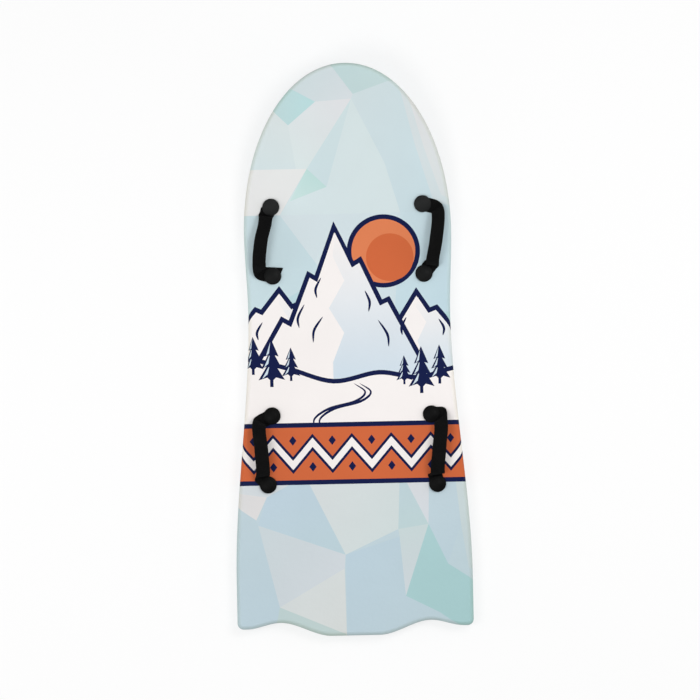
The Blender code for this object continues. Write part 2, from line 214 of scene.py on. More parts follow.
SHEET_BLUE = (150, 196, 210)
SHEET_PALE = (163, 205, 217)
SHEET_ROUGHNESS = 0.3
SHEET_ROUGHNESS_RANGE = (0.24, 0.42)
SCRATCH_SIZE = 0.0006
SCRATCH_STRETCH = 0.03
SCRATCH_DEPTH = 0.00004
CLOUD_SIZE = 0.08
RIPPLE_SIZE = 0.03
RIPPLE_DEPTH = 0.0006


def eased(share):
    """0 to 1, with no slope at either end."""
    share = np.clip(share, 0, 1)
    return share * share * (3 - 2 * share)


def rocker(y):
    """Height of the gliding surface above level ground."""
    return ROCKER_LIFT * np.clip((y - ROCKER_START_Y) / (NOSE_Y - ROCKER_START_Y), 0, None) ** 2


def slope(y):
    """The angle that the board is tipped up by at y."""
    rise = NOSE_Y - ROCKER_START_Y
    return math.atan(2 * ROCKER_LIFT * max(0, y - ROCKER_START_Y) / rise**2)


def thickness(y):
    share = (y - TAPER_START_Y) / (NOSE_Y - TAPER_START_Y)
    return THICKNESS - (THICKNESS - NOSE_THICKNESS) * eased(share)


def side_x(y):
    """Half the board's width between the shoulder and the tail corner."""
    wide = (SHOULDER_HALF - WAIST_HALF) * eased((y - WAIST_Y) / (SHOULDER_Y - WAIST_Y))
    flare = (TAIL_HALF - WAIST_HALF) * eased((WAIST_Y - y) / (WAIST_Y - FLARE_END_Y))
    return WAIST_HALF + wide + flare


def tail_y(x):
    """The wavy tail edge: a bulge in the middle, then a dip and a lip on each side."""
    (lip_x, lip_y), (dip_x, dip_y) = TAIL_LIP, TAIL_DIP
    dip = (dip_y - TAIL_Y) * eased((x - TAIL_BULGE_X) / (dip_x - TAIL_BULGE_X))
    lip = (lip_y - dip_y) * eased((x - dip_x) / (lip_x - dip_x))
    return TAIL_Y + dip + lip


def between(start, end):
    """Evenly spaced values from start, up to but without end."""
    steps = max(2, round(abs(end - start) / OUTLINE_STEP))
    return [start + (end - start) * i / steps for i in range(steps)]


def board_outline():
    """The outline seen from above, anticlockwise from the nose."""
    turns = round(math.pi / 2 * NOSE_Y / OUTLINE_STEP / 2)
    right = []
    for i in range(turns):
        angle = math.pi / 2 * i / turns
        x = SHOULDER_HALF * math.sin(angle) ** (2 / NOSE_POWER)
        y = SHOULDER_Y + (NOSE_Y - SHOULDER_Y) * math.cos(angle) ** (2 / NOSE_POWER)
        right.append((x, y))
    corner_x = TAIL_HALF - CORNER_RADIUS
    corner_y = TAIL_LIP[1] + CORNER_RADIUS
    right += [(side_x(y), y) for y in between(SHOULDER_Y, corner_y)]
    for i in range(CORNER_STEPS):
        angle = math.pi / 2 * i / CORNER_STEPS
        right.append((corner_x + CORNER_RADIUS * math.cos(angle),
                      corner_y - CORNER_RADIUS * math.sin(angle)))
    right += [(x, tail_y(x)) for x in between(corner_x, 0)]
    return np.array([(-x, y) for x, y in right] + [(0, TAIL_Y)] + right[:0:-1])


def outward(ring):
    """For each corner of an anticlockwise ring, the step that moves both its edges out by one."""
    edge = np.roll(ring, -1, axis=0) - ring
    square = np.stack([edge[:, 1], -edge[:, 0]], axis=1)
    square /= np.linalg.norm(square, axis=1)[:, None]
    both = square + np.roll(square, 1, axis=0)
    both /= np.linalg.norm(both, axis=1)[:, None]
    return both / np.sum(both * square, axis=1)[:, None]


def circle(centre, radius, steps):
    """Points round a circle, anticlockwise."""
    angles = [2 * math.pi * i / steps for i in range(steps)]
    return np.array([(centre[0] + radius * math.cos(a), centre[1] + radius * math.sin(a)) for a in angles])


def off_ring(ring, points):
    """How far points lie from a ring, as a plain distance, and the nearest place on the ring."""
    run = np.roll(ring, -1, axis=0) - ring
    feet = []
    for some in np.array_split(points, len(points) // 1000 + 1):
        offset = some[:, None] - ring
        share = np.clip(np.sum(offset * run, axis=2) / np.sum(run * run, axis=1), 0, 1)
        places = ring + share[..., None] * run
        nearest = np.argmin(np.linalg.norm(some[:, None] - places, axis=2), axis=1)
        feet.append(places[np.arange(len(some)), nearest])
    feet = np.concatenate(feet)
    return np.linalg.norm(points - feet, axis=1), feet


def inside(ring, points):
    """Whether each point lies inside a ring."""
    after = np.roll(ring, -1, axis=0)
    x, y = points[:, 0, None], points[:, 1, None]
    straddles = (ring[:, 1] > y) != (after[:, 1] > y)
    rise = np.where(straddles, after[:, 1] - ring[:, 1], 1)
    crossing = ring[:, 0] + (y - ring[:, 1]) * (after[:, 0] - ring[:, 0]) / rise
    return np.sum(straddles & (x < crossing), axis=1) % 2 == 1


def split(shape, longest):
    """A shape with its sides cut into steps of a given length at most."""
    made = []
    for start, end in zip(shape, np.roll(shape, -1, axis=0)):
        steps = math.ceil(np.linalg.norm(end - start) / longest)
        made += [start + (end - start) * i / steps for i in range(steps)]
    return np.array(made)


def sparse(points, others, gap):
    """The points that keep clear of all others."""
    tree = KDTree(len(others))
    for i, (x, y) in enumerate(others):
        tree.insert((x, y, 0), i)
    tree.balance()
    return np.array([point for point in points if tree.find((*point, 0))[2] > gap])


def flat_pattern(edge, bands, grid, shapes, dots):
    """Triangles over a sheet as it lies before its border is bent.

    The edge is where the bend starts, and the bands are the distances beyond it that get a row of
    points. Returns the points, the triangles, and the numbers of the shapes round each triangle.
    """
    rim = edge + outward(edge) * bands[-1]
    outlines = [rim] + [split(np.array(shape), EDGE_STEP) for shape in shapes]
    drawn = np.concatenate(outlines + list(dots))
    rows = [sparse(edge + outward(edge) * distance, drawn, EDGE_STEP * ROW_CLEARANCE)
            for distance in [0, *bands[:-1]]]
    low, high = edge.min(axis=0), edge.max(axis=0)
    across = np.arange(low[0], high[0], grid)
    along = np.arange(low[1], high[1], grid)
    lattice = np.stack(np.meshgrid(across, along), axis=2).reshape(-1, 2)
    lattice = lattice[inside(edge, lattice)]
    rows += [sparse(lattice, np.concatenate([drawn, edge]), grid * GRID_CLEARANCE)] + list(dots)
    corners = np.concatenate(rows + outlines)
    faces = []
    first = sum(len(row) for row in rows)
    for outline in outlines:
        faces.append(list(range(first, first + len(outline))))
        first += len(outline)
    made = delaunay_2d_cdt([Vector(corner) for corner in corners], [], faces, 0, WELD, True)
    points, triangles, owners = np.array([tuple(point) for point in made[0]]), made[2], made[5]
    kept = [i for i, owned in enumerate(owners) if 0 in owned]
    return points, [triangles[i] for i in kept], [[n - 1 for n in owners[i] if n] for i in kept]


def bent(edge, points):
    """How far each point lies beyond the edge, its foot on the edge, and the way out from there."""
    distance, feet = off_ring(edge, points)
    beyond = np.where(inside(edge, points) | (distance < WELD), 0, distance)
    way = (points - feet) / np.maximum(distance, 1e-9)[:, None]
    return beyond, feet, np.where(beyond[:, None] > 0, way, (1, 0))


def rivet_place(x, y):
    """Where a rivet's axis meets the deck, with local Z square to the deck."""
    middle = Vector((x, y, rocker(y) + thickness(y)))
    return Matrix.Translation(middle) @ Matrix.Rotation(slope(y), 4, "X")


def dish_centre(place):
    """Where a rivet's axis meets the gliding surface."""
    y = place.translation.y
    return place @ Vector((0, 0, -thickness(y) * math.cos(slope(y))))


def piece(name, vertices, faces, material):
    """A new object with a smooth mesh in the frame's own coordinates."""
    mesh = bpy.data.meshes.new(name)
    mesh.from_pydata([tuple(vertex) for vertex in vertices], [], faces)
    mesh.materials.append(material)
    mesh.shade_smooth()
    made = bpy.data.objects.new(name, mesh)
    bpy.context.scene.collection.objects.link(made)
    return made


def plain(obj):
    """Bakes an object's modifiers into its mesh."""
    evaluated = obj.evaluated_get(bpy.context.evaluated_depsgraph_get())
    mesh = bpy.data.meshes.new_from_object(evaluated)
    obj.modifiers.clear()
    obj.data = mesh
    return obj


def walled(obj, wall):
    """Gives an open sheet its wall, on the side away from its faces."""
    solidify = obj.modifiers.new("wall", "SOLIDIFY")
    solidify.thickness = wall
    solidify.offset = -1
    return plain(obj)


rivet_places = [rivet_place(*spot) for pair in RIVETS.values() for spot in pair]
outline = board_outline()
chine = outline - outward(outline) * CHINE_INSET

dish_rows = [DISH_RADIUS + DISH_EDGE * share for share in (-2, -1.2, -0.8, -0.4, 0, 0.4, 0.8, 1.2, 2.5)]
dish_rows += [SHANK_HOLE + (DISH_RADIUS - SHANK_HOLE) * share for share in (0.25, 0.5, 0.75)]
centres = [dish_centre(place) for place in rivet_places]
dots = [circle(centre, radius, DISH_STEPS) for centre in centres for radius in dish_rows]
shank_holes = [circle(centre, SHANK_HOLE, HOLE_STEPS) for centre in centres]
bands = [CHINE_ARC * i / CHINE_ROWS for i in range(1, CHINE_ROWS + 1)]
points, triangles, owners = flat_pattern(chine, bands, SHEET_GRID, shank_holes, dots)

beyond, feet, way = bent(chine, points)
turn = math.pi / 2 * np.clip(beyond / CHINE_ARC, 0, 1)
plan = np.where(beyond[:, None] > 0, feet + way * (CHINE_INSET * np.sin(turn))[:, None], points)
surface = np.column_stack([plan, rocker(plan[:, 1]) + CHINE_HEIGHT * (1 - np.cos(turn))])
for centre in centres:
    reach = np.linalg.norm(plan - np.array(centre)[:2], axis=1)
    pressed = DISH_DEPTH * eased((DISH_RADIUS + DISH_EDGE - reach) / (2 * DISH_EDGE))
    tipped = slope(centre.y)
    surface += pressed[:, None] * np.array((0, -math.sin(tipped), math.cos(tipped)))


def noise(tree, place, size, detail=2.0):
    """A cloudy texture whose patches are about a given size."""
    inputs = {"Vector": place, "Scale": 1 / size, "Detail": detail}
    return add(tree, "ShaderNodeTexNoise", inputs).outputs["Fac"]


def dulled(tree, shader, texture, roughness):
    """Lets a finish's roughness follow a texture over a range."""
    tree.links.new(ranged(tree, texture, *roughness), shader.inputs["Roughness"])


slick, tree, shader, place = finish("slick_polyethylene", SHEET_BLUE, SHEET_ROUGHNESS)
scratch_scale = {"Vector": place, "Scale": (1, SCRATCH_STRETCH, 1)}
stretch = add(tree, "ShaderNodeMapping", scratch_scale).outputs["Vector"]
scratches = noise(tree, stretch, SCRATCH_SIZE, 3)
cloud = noise(tree, place, CLOUD_SIZE)
varied(tree, shader, ranged(tree, cloud, 0, 1), SHEET_BLUE, SHEET_PALE)
dulled(tree, shader, scratches, SHEET_ROUGHNESS_RANGE)
ripple = noise(tree, place, RIPPLE_SIZE)
relief(tree, shader, [(ripple, RIPPLE_DEPTH), (scratches, SCRATCH_DEPTH)])

faces = [tuple(reversed(t)) for t, owned in zip(triangles, owners) if not owned]
sheet = walled(piece("gliding_sheet", surface, faces, slick), SHEET_THICKNESS)
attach(sheet, "board")
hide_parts("slick_bottom")


# Printed deck skin
# A sheet of soft foam, 4 mm thick, with a printed film on it. It covers the deck, bends over the
# rounded rail and runs down the side to the bottom sheet, all in one piece, so the print runs on over
# the rail. Pale facets like cut ice cover it all, with snowy peaks, a low sun and a zigzag band on top.

SKIN_THICKNESS = 0.004
RAIL_INSET = 0.0075
RAIL_DROP = 0.010
RAIL_ARC = 0.0138
WALL_LENGTH = 0.0257
SEAM_HEIGHT = CHINE_HEIGHT + 0.0003
POST_HOLE = 0.0053
DECK_GRID = 0.006
RAIL_ROWS = 9
WALL_ROWS = 6

# Corners of the facets on the flattened skin, in metres. Those past the rail run off the print.
CORNERS = {
    "nose_out_left": (-0.062, 0.548), "nose_tip": (0.014, 0.446), "nose_out_right": (0.160, 0.496),
    "nose_far_left": (-0.170, 0.560), "nose_far_right": (0.170, 0.560),
    "patch_out_top": (-0.140, 0.482), "patch_right": (-0.052, 0.434), "patch_low": (-0.100, 0.394),
    "patch_out_left": (-0.158, 0.450), "apex": (0.011, 0.438), "level_drop": (-0.088, 0.318),
    "level_right": (-0.069, 0.318), "level_out": (-0.240, 0.318), "cone_left": (-0.118, 0.238),
    "cone_right": (0.093, 0.239), "cone_knee": (0.067, 0.326),
    "cone_inner": (-0.035, 0.286), "wedge_low": (-0.100, 0.262),
    # The next two rows outline painted highlights along the right rail at the nose: a broad faint one, then
    # a narrow lighter one.
    "glow_top": (0.095, 0.458), "glow_knee": (0.121, 0.355), "glow_low": (0.152, 0.255),
    "strip_top": (0.108, 0.450), "strip_knee": (0.136, 0.352), "strip_low": (0.165, 0.268),
    "right_out_top": (0.240, 0.440), "right_out_high": (0.240, 0.239), "right_out_mid": (0.240, 0.062),
    "left_out_high": (-0.240, 0.238), "left_out_mid": (-0.240, 0.020), "bay_left": (0.080, 0.066),
    "saddle": (-0.040, 0.130), "right_out_low": (0.240, -0.150), "centre_low": (0.030, -0.060),
    "left_out_low": (-0.240, -0.160), "left_low": (-0.060, -0.150), "dark_top_left": (-0.020, -0.120),
    "dark_top_right": (0.114, -0.120), "dark_left": (0.017, -0.171), "fan_top": (0.137, -0.120),
    "knot": (0.083, -0.211), "pale_left": (-0.083, -0.219),
    "knee_low": (0.078, -0.315), "hub": (-0.015, -0.358), "hub_right": (0.080, -0.328),
    "slab_left": (-0.167, -0.304), "slab_top": (-0.151, -0.255), "shard_low": (-0.170, -0.295),
    "shard_out": (-0.250, -0.240), "column_low": (-0.132, -0.448), "split": (-0.017, -0.382),
    "tail_middle": (-0.017, -0.497), "tail_out_middle": (-0.015, -0.560),
    "tail_out_left": (-0.260, -0.560), "tail_out_right": (0.260, -0.560), "dip_left": (-0.155, -0.560),
    "fan": (0.131, -0.307), "fan_foot": (0.089, -0.432), "toe": (0.148, -0.462),
    "toe_out": (0.230, -0.520), "fin_knee": (0.164, -0.377), "fin_out": (0.260, -0.440),
    "rim_top": (0.172, -0.120), "rim_high": (0.181, -0.241), "rim_mid": (0.188, -0.308),
    "rim_low": (0.200, -0.385), "rim_out": (0.260, -0.400),
}
# Facets, painted in turn: the corners, and the colours at the first corner and at the farthest one.
FACETS = [
    ("nose_far_left nose_far_right right_out_high left_out_high", (206, 220, 224), (203, 219, 224)),
    ("left_out_high right_out_high right_out_mid left_out_mid", (205, 221, 226), (196, 216, 223)),
    ("left_out_mid right_out_mid right_out_low left_out_low", (190, 214, 220), (186, 211, 217)),
    ("left_out_low right_out_low tail_out_right tail_out_left", (192, 210, 218), (189, 207, 214)),
    ("nose_out_left nose_tip nose_out_right nose_far_right", (190, 213, 214), (196, 215, 215)),
    ("apex nose_tip nose_out_left nose_far_left patch_out_top patch_right", (213, 220, 224),
     (190, 212, 213)),
    ("patch_right patch_out_top patch_out_left patch_low", (183, 217, 219), (193, 214, 215)),
    ("patch_out_left nose_far_left left_out_high level_out level_drop patch_low", (216, 224, 224),
     (203, 222, 226)),
    ("apex patch_right patch_low level_drop level_right", (222, 223, 226), (215, 227, 227)),
    ("level_right level_out left_out_high cone_left", (226, 228, 227), (229, 229, 229)),
    ("apex cone_left cone_right cone_knee", (211, 224, 225), (212, 226, 229)),
    ("apex level_right cone_inner", (205, 221, 223), (203, 221, 225)),
    ("level_right cone_inner wedge_low", (188, 219, 216), (200, 224, 222)),
    ("apex nose_tip nose_out_right right_out_top right_out_high cone_right cone_knee", (206, 220, 223),
     (196, 217, 224)),
    # The next two facets are painted highlights along the right rail at the nose, a broad faint one under a
    # narrow lighter one.
    ("glow_top right_out_top right_out_high glow_low glow_knee", (212, 220, 222), (206, 219, 222)),
    ("strip_top right_out_top right_out_high strip_low strip_knee", (220, 221, 222), (212, 221, 222)),
    ("left_out_high cone_left saddle left_out_mid", (203, 221, 226), (196, 217, 223)),
    ("cone_left cone_right bay_left saddle", (212, 224, 228), (205, 221, 226)),
    ("cone_right right_out_high right_out_mid bay_left", (201, 220, 226), (190, 215, 225)),
    ("bay_left right_out_mid right_out_low centre_low", (180, 212, 216), (184, 214, 220)),
    ("saddle left_out_mid left_out_low left_low", (186, 214, 221), (182, 212, 216)),
    ("dark_top_left dark_left knot dark_top_right", (174, 208, 212), (169, 205, 206)),
    ("pale_left dark_left knot knee_low hub", (214, 219, 220), (206, 217, 217)),
    ("pale_left slab_top slab_left hub", (190, 209, 221), (186, 207, 214)),
    ("pale_left left_low left_out_low shard_out slab_top", (206, 216, 222), (214, 218, 220)),
    ("slab_top shard_out shard_low", (221, 219, 219), (214, 216, 217)),
    ("shard_out shard_low slab_left column_low dip_left tail_out_left", (190, 208, 215), (187, 207, 217)),
    ("slab_left hub split column_low", (201, 212, 216), (206, 213, 218)),
    ("column_low split tail_out_middle tail_middle", (211, 217, 217), (214, 218, 216)),
    ("tail_middle column_low dip_left tail_out_middle", (191, 208, 206), (188, 208, 209)),
    ("hub hub_right fan_foot toe toe_out tail_out_right tail_out_middle", (186, 206, 217), (190, 209, 214)),
    ("knee_low fan fan_foot hub_right", (199, 213, 214), (206, 214, 219)),
    ("knot fan knee_low", (190, 209, 216), (188, 209, 211)),
    ("knot fan_top fan", (216, 218, 221), (209, 215, 221)),
    ("fan_top rim_top rim_high rim_mid fin_knee fan", (196, 212, 219), (187, 207, 216)),
    ("fan fan_foot toe toe_out fin_out fin_knee", (170, 205, 207), (166, 202, 203)),
    ("fin_knee rim_mid rim_low fin_out", (190, 209, 216), (186, 205, 209)),
    ("rim_top right_out_low rim_out rim_low rim_mid rim_high", (207, 217, 217), (192, 208, 211)),
]

SNOW = (245, 240, 238)
SNOW_SHADE = (205, 220, 231)
NAVY = (6, 20, 68)
ORANGE = (207, 103, 60)
ORANGE_LIGHT = (222, 128, 84)
LINE = 0.0082
THIN_LINE = 0.0045
# Painted shade over the rail: the share of each colour channel that the print keeps where the roundover
# ends.
RAIL_SHADE = (0.985, 0.985, 0.950)
# How far a sharp corner of a grown outline may reach out, in steps of that growth.
CORNER_REACH = 2.4
# The picture's shapes run to this distance from the centre line, past the board's edge.
PRINT_OUT = 0.262
# How thick the middle of a pointed line stays. Less is fuller.
POINTING = 0.6
FILM_ROUGHNESS = 0.42
FILM_ROUGHNESS_RANGE = (0.36, 0.50)
FILM_SPECULAR = 0.06
FILM_COAT = 0.03
FILM_COAT_ROUGHNESS = 0.22
TONE_SIZE = 0.11
TONE_RANGE = (0.965, 1.0)
GRAIN_SIZE = 0.0009
GRAIN_DEPTH = 0.00004
CELL_SIZE = 0.0045
CELL_DEPTH = 0.00008
SWELL_SIZE = 0.022
SWELL_DEPTH = 0.0007

# The print's shapes in the order they are painted: outline, two colours and where each of them is.
print_shapes = []


def paint(points, colour, far_colour=None):
    """Adds a filled shape. Its colour may fade from its first corner to its farthest one."""
    points = np.array(points, float)
    after = np.roll(points, -1, axis=0)
    farthest = points[np.argmax(np.linalg.norm(points - points[0], axis=1))]
    turned = np.sum(points[:, 0] * after[:, 1] - after[:, 0] * points[:, 1]) < 0
    shape = points[::-1] if turned else points
    print_shapes.append((shape, colour, far_colour or colour, points[0], farthest))


def grown(points, distance):
    """A shape with its outline moved out. Sharp corners are blunted a little."""
    points = np.array(points, float)
    after = np.roll(points, -1, axis=0)
    if np.sum(points[:, 0] * after[:, 1] - after[:, 0] * points[:, 1]) < 0:
        points = points[::-1]
    step = outward(points)
    reach = np.linalg.norm(step, axis=1)
    return points + step * (distance * np.minimum(reach, CORNER_REACH) / reach)[:, None]


def outlined(points, colour, far_colour=None, line=LINE):
    """Adds a filled shape with a navy line round it."""
    paint(grown(points, line / 2), NAVY)
    paint(grown(points, -line / 2), colour, far_colour)


def stroke(points, line, colour=NAVY):
    """Adds a line that is full in its middle and pointed at both ends."""
    points = np.array(points, float)
    run = np.gradient(points, axis=0)
    across = np.stack([-run[:, 1], run[:, 0]], axis=1) / np.linalg.norm(run, axis=1)[:, None]
    share = np.linspace(0, 1, len(points))
    half = (line / 2 * np.sin(np.pi * share) ** POINTING)[:, None]
    paint(np.concatenate([points + across * half, (points - across * half)[-2:0:-1]]), colour)


def curve(points, steps=8):
    """A smooth line through the given points."""
    points = np.array(points, float)
    ends = np.concatenate([[2 * points[0] - points[1]], points, [2 * points[-1] - points[-2]]])
    made = []
    for a, b, c, d in zip(ends, ends[1:], ends[2:], ends[3:]):
        for i in range(steps):
            t = i / steps
            made.append(b + (c - a) * t / 2 + (2 * a - 5 * b + 4 * c - d) * t**2 / 2
                        + (3 * b - a - 3 * c + d) * t**3 / 2)
    return np.array(made + [points[-1]])


for names, near, far in FACETS:
    paint([CORNERS[name] for name in names.split()], near, far)

# The sun, with a lighter crescent on its upper left.
SUN_CENTRE = (0.062, 0.172)
SUN_RADIUS = 0.060
SUN_STEPS = 72
CRESCENT_SHIFT = 0.011
CRESCENT_SHRINK = 1.3
CRESCENT_STEPS = 64
outlined(circle(SUN_CENTRE, SUN_RADIUS, SUN_STEPS), ORANGE_LIGHT)
shifted = (SUN_CENTRE[0] + CRESCENT_SHIFT, SUN_CENTRE[1] - CRESCENT_SHIFT)
core_radius = SUN_RADIUS - LINE / 2 - CRESCENT_SHIFT * CRESCENT_SHRINK
paint(circle(shifted, core_radius, CRESCENT_STEPS), ORANGE)

# Peaks from the back to the front: the skyline from left to right, and the ridge that parts the lit
# left side from the shaded right side.
PEAK_FOOT = -0.060
PEAKS = [
    ([(-PRINT_OUT, 0.006), (-0.206, 0.046), (-0.194, 0.041), (-0.164, 0.074), (-0.153, 0.069),
      (-0.122, 0.108), (-0.100, 0.078), (-0.089, 0.083), (-0.040, 0.030)],
     [(-0.122, 0.108), (-0.127, 0.082), (-0.112, 0.060), (-0.128, 0.032), (-0.118, 0.004)]),
    ([(0.020, -0.020), (0.066, 0.042), (0.078, 0.037), (0.118, 0.100), (0.140, 0.067),
      (0.153, 0.072), (0.184, 0.034), (0.199, 0.040), (PRINT_OUT, -0.020)],
     [(0.118, 0.100), (0.113, 0.072), (0.130, 0.046), (0.114, 0.014), (0.128, -0.030)]),
    ([(-0.162, -0.020), (-0.118, 0.056), (-0.104, 0.048), (-0.070, 0.134), (-0.057, 0.126),
      (-0.024, 0.216), (0.008, 0.150), (0.021, 0.158), (0.056, 0.082), (0.069, 0.088), (0.122, -0.014)],
     [(-0.024, 0.216), (-0.031, 0.164), (-0.012, 0.122), (-0.040, 0.074), (-0.014, 0.030),
      (-0.034, -0.020)]),
]
for skyline, ridge in PEAKS:
    whole = skyline + [(skyline[-1][0], PEAK_FOOT), (skyline[0][0], PEAK_FOOT)]
    outlined(whole, SNOW)
    top = skyline.index(ridge[0])
    shade = ridge[::-1] + skyline[top + 1:] + [(skyline[-1][0], PEAK_FOOT), (ridge[-1][0], PEAK_FOOT)]
    paint(grown(shade, -LINE / 2), SNOW_SHADE, SNOW)

# Creases in the snow, each a short pointed line from top to bottom.
CREASES = [
    [(-0.048, 0.128), (-0.058, 0.108), (-0.056, 0.092)],
    [(-0.078, 0.082), (-0.090, 0.058), (-0.088, 0.040)],
    [(-0.046, 0.060), (-0.062, 0.036), (-0.064, 0.014)],
    [(0.028, 0.104), (0.036, 0.084), (0.034, 0.066)],
    [(0.050, 0.052), (0.066, 0.026), (0.068, 0.004)],
    [(0.100, 0.056), (0.091, 0.038), (0.092, 0.024)],
    [(0.156, 0.052), (0.165, 0.036), (0.163, 0.022)],
    [(-0.152, 0.052), (-0.162, 0.034), (-0.160, 0.020)],
]
for crease in CREASES:
    stroke(curve(crease), THIN_LINE)

# The snow slope below the peaks, with two ski tracks down it.
SLOPE_TOP = [(-PRINT_OUT, -0.026), (-0.190, -0.012), (-0.110, -0.030), (-0.030, -0.054),
             (0.050, -0.040), (0.120, -0.050), (0.190, -0.034), (PRINT_OUT, -0.050)]
BAND_TOP = -0.134
BAND_FOOT = -0.226
brow = curve(SLOPE_TOP)
below = [(PRINT_OUT, BAND_TOP), (-PRINT_OUT, BAND_TOP)]
paint(list(brow + (0, LINE / 2)) + below, NAVY)
paint(list(brow - (0, LINE / 2)) + below, SNOW)
TRACK = [(0.010, -0.058), (0.030, -0.074), (0.012, -0.090), (-0.034, -0.102), (-0.060, -0.120),
         (-0.056, -0.140)]
TRACK_GAP = 0.010
for side in (-0.5, 0.5):
    stroke(curve([(x + side * TRACK_GAP, y) for x, y in TRACK]), THIN_LINE)


def fir(x, foot, height):
    """A fir of three tiers with a snowy edge on each, in shares of its height and of the tiers' width."""
    for tier in range(3):
        low = foot + height * (0.14 + 0.24 * tier)
        high = low + height * (0.44 - 0.04 * tier)
        half = height * (0.27 - 0.06 * tier)
        paint([(x - half, low), (x - half / 3, low + half / 5), (x, low - half / 8),
               (x + half / 3, low + half / 5), (x + half, low), (x, high)], NAVY)
        glint = 0.45 * half
        paint([(x - 0.72 * half, low + 0.10 * half), (x - 0.12 * half, high - glint),
               (x - 0.30 * half, low + glint)], SNOW_SHADE)
    trunk = height * 0.035
    trunk_top = foot + height * 0.16
    paint([(x - trunk, foot), (x + trunk, foot), (x + trunk, trunk_top), (x - trunk, trunk_top)], NAVY)


FIRS = [(-0.170, -0.040, 0.068), (-0.104, -0.052, 0.060), (-0.138, -0.062, 0.086), (0.094, -0.062, 0.052),
        (0.156, -0.062, 0.070), (0.124, -0.078, 0.084)]
for fir_x, fir_foot, fir_height in FIRS:
    fir(fir_x, fir_foot, fir_height)

# The band across the board: orange with navy edges, a snow-white zigzag, and small diamonds in its bays.
ZIGZAG_PERIOD = 0.069
ZIGZAG_RISE = 0.020
ZIGZAG_HALF = 0.0075
DIAMOND = (0.0065, 0.0085)
DIAMOND_OUT = 1.15


def strip(low, high, colour):
    """A straight strip across the board."""
    paint([(-PRINT_OUT, low), (PRINT_OUT, low), (PRINT_OUT, high), (-PRINT_OUT, high)], colour)


def zigzag(half, colour):
    """A zigzag ribbon along the middle of the band."""
    middle = (BAND_TOP + BAND_FOOT) / 2
    bends = round(PRINT_OUT / ZIGZAG_PERIOD * 2)
    spine = [(ZIGZAG_PERIOD * i / 2, middle + ZIGZAG_RISE * (-1) ** i) for i in range(-bends, bends + 1)]
    upper = [(x, y + half) for x, y in spine]
    lower = [(x, y - half) for x, y in reversed(spine)]
    paint(upper + lower, colour)


strip(BAND_FOOT - LINE, BAND_TOP + LINE, NAVY)
strip(BAND_FOOT, BAND_TOP, ORANGE)
slant = math.hypot(ZIGZAG_PERIOD / 2, 2 * ZIGZAG_RISE) / (ZIGZAG_PERIOD / 2)
zigzag((ZIGZAG_HALF + THIN_LINE / 2) * slant, NAVY)
zigzag((ZIGZAG_HALF - THIN_LINE / 2) * slant, SNOW)
bays = round(PRINT_OUT / ZIGZAG_PERIOD * 2)
for bay in range(-bays, bays + 1):
    x = ZIGZAG_PERIOD * bay / 2
    y = (BAND_TOP + BAND_FOOT) / 2 - ZIGZAG_RISE * (-1) ** bay * DIAMOND_OUT
    wide, tall = DIAMOND
    paint([(x - wide, y), (x, y - tall), (x + wide, y), (x, y + tall)], NAVY)

rail = outline - outward(outline) * RAIL_INSET
post_holes = [circle(place.translation, POST_HOLE, HOLE_STEPS) for place in rivet_places]
bands = [RAIL_ARC * i / RAIL_ROWS for i in range(1, RAIL_ROWS + 1)]
bands += [RAIL_ARC + WALL_LENGTH * i / WALL_ROWS for i in range(1, WALL_ROWS + 1)]
shapes = [shape for shape, *_ in print_shapes] + post_holes
points, triangles, owners = flat_pattern(rail, bands, DECK_GRID, shapes, [])

beyond, feet, way = bent(rail, points)
turn = math.pi / 2 * np.clip(beyond / RAIL_ARC, 0, 1)
plan = np.where(beyond[:, None] > 0, feet + way * (RAIL_INSET * np.sin(turn))[:, None], points)
ground = rocker(plan[:, 1])
height = ground + thickness(plan[:, 1]) - RAIL_DROP * (1 - np.cos(turn))
down = np.clip((beyond - RAIL_ARC) / WALL_LENGTH, 0, 1)
surface = np.column_stack([plan, height + down * (ground + SEAM_HEIGHT - height)])

# The way that the skin faces, from the steps that it takes outwards and along the rail.
step = 0.0001
ahead, behind = plan[:, 1] + step, plan[:, 1] - step
climb = (rocker(ahead) + thickness(ahead) - rocker(behind) - thickness(behind)) / (2 * step)
run_out = way * (RAIL_INSET * np.cos(turn))[:, None]
fall = climb * run_out[:, 1] - RAIL_DROP * np.sin(turn)
outwards = np.column_stack([run_out, fall])
alongside = np.column_stack([-way[:, 1], way[:, 0], climb * way[:, 0]])
facing = np.cross(outwards, alongside)
facing /= np.linalg.norm(facing, axis=1)[:, None]

kept = [i for i, owned in enumerate(owners) if max(owned) < len(print_shapes)]
triangles = np.array([triangles[i] for i in kept])
shape_of = np.array([max(owners[i]) for i in kept])
corner_places = points[triangles]
near, far = (np.array([shape[i] for shape in print_shapes], float)[shape_of] for i in (1, 2))
start, end = (np.array([shape[i] for shape in print_shapes])[shape_of] for i in (3, 4))
run = end - start
share = np.sum((corner_places - start[:, None]) * run[:, None], axis=2) / np.sum(run * run, axis=1)[:, None]
share = np.clip(share, 0, 1)[..., None]
chart = near[:, None] * (1 - share) + far[:, None] * share
# Painted shade: where the print turns over the rail's roundover, away from the lamps, it is darkened and
# made less blue, so greener. The shade fades again down the wall.
stretch = np.sin(turn) * (1 - down)
chart *= 1 - stretch[triangles][..., None] * (1 - np.array(RAIL_SHADE))
linear = np.array([tint(*colour) for colour in chart.reshape(-1, 3)])

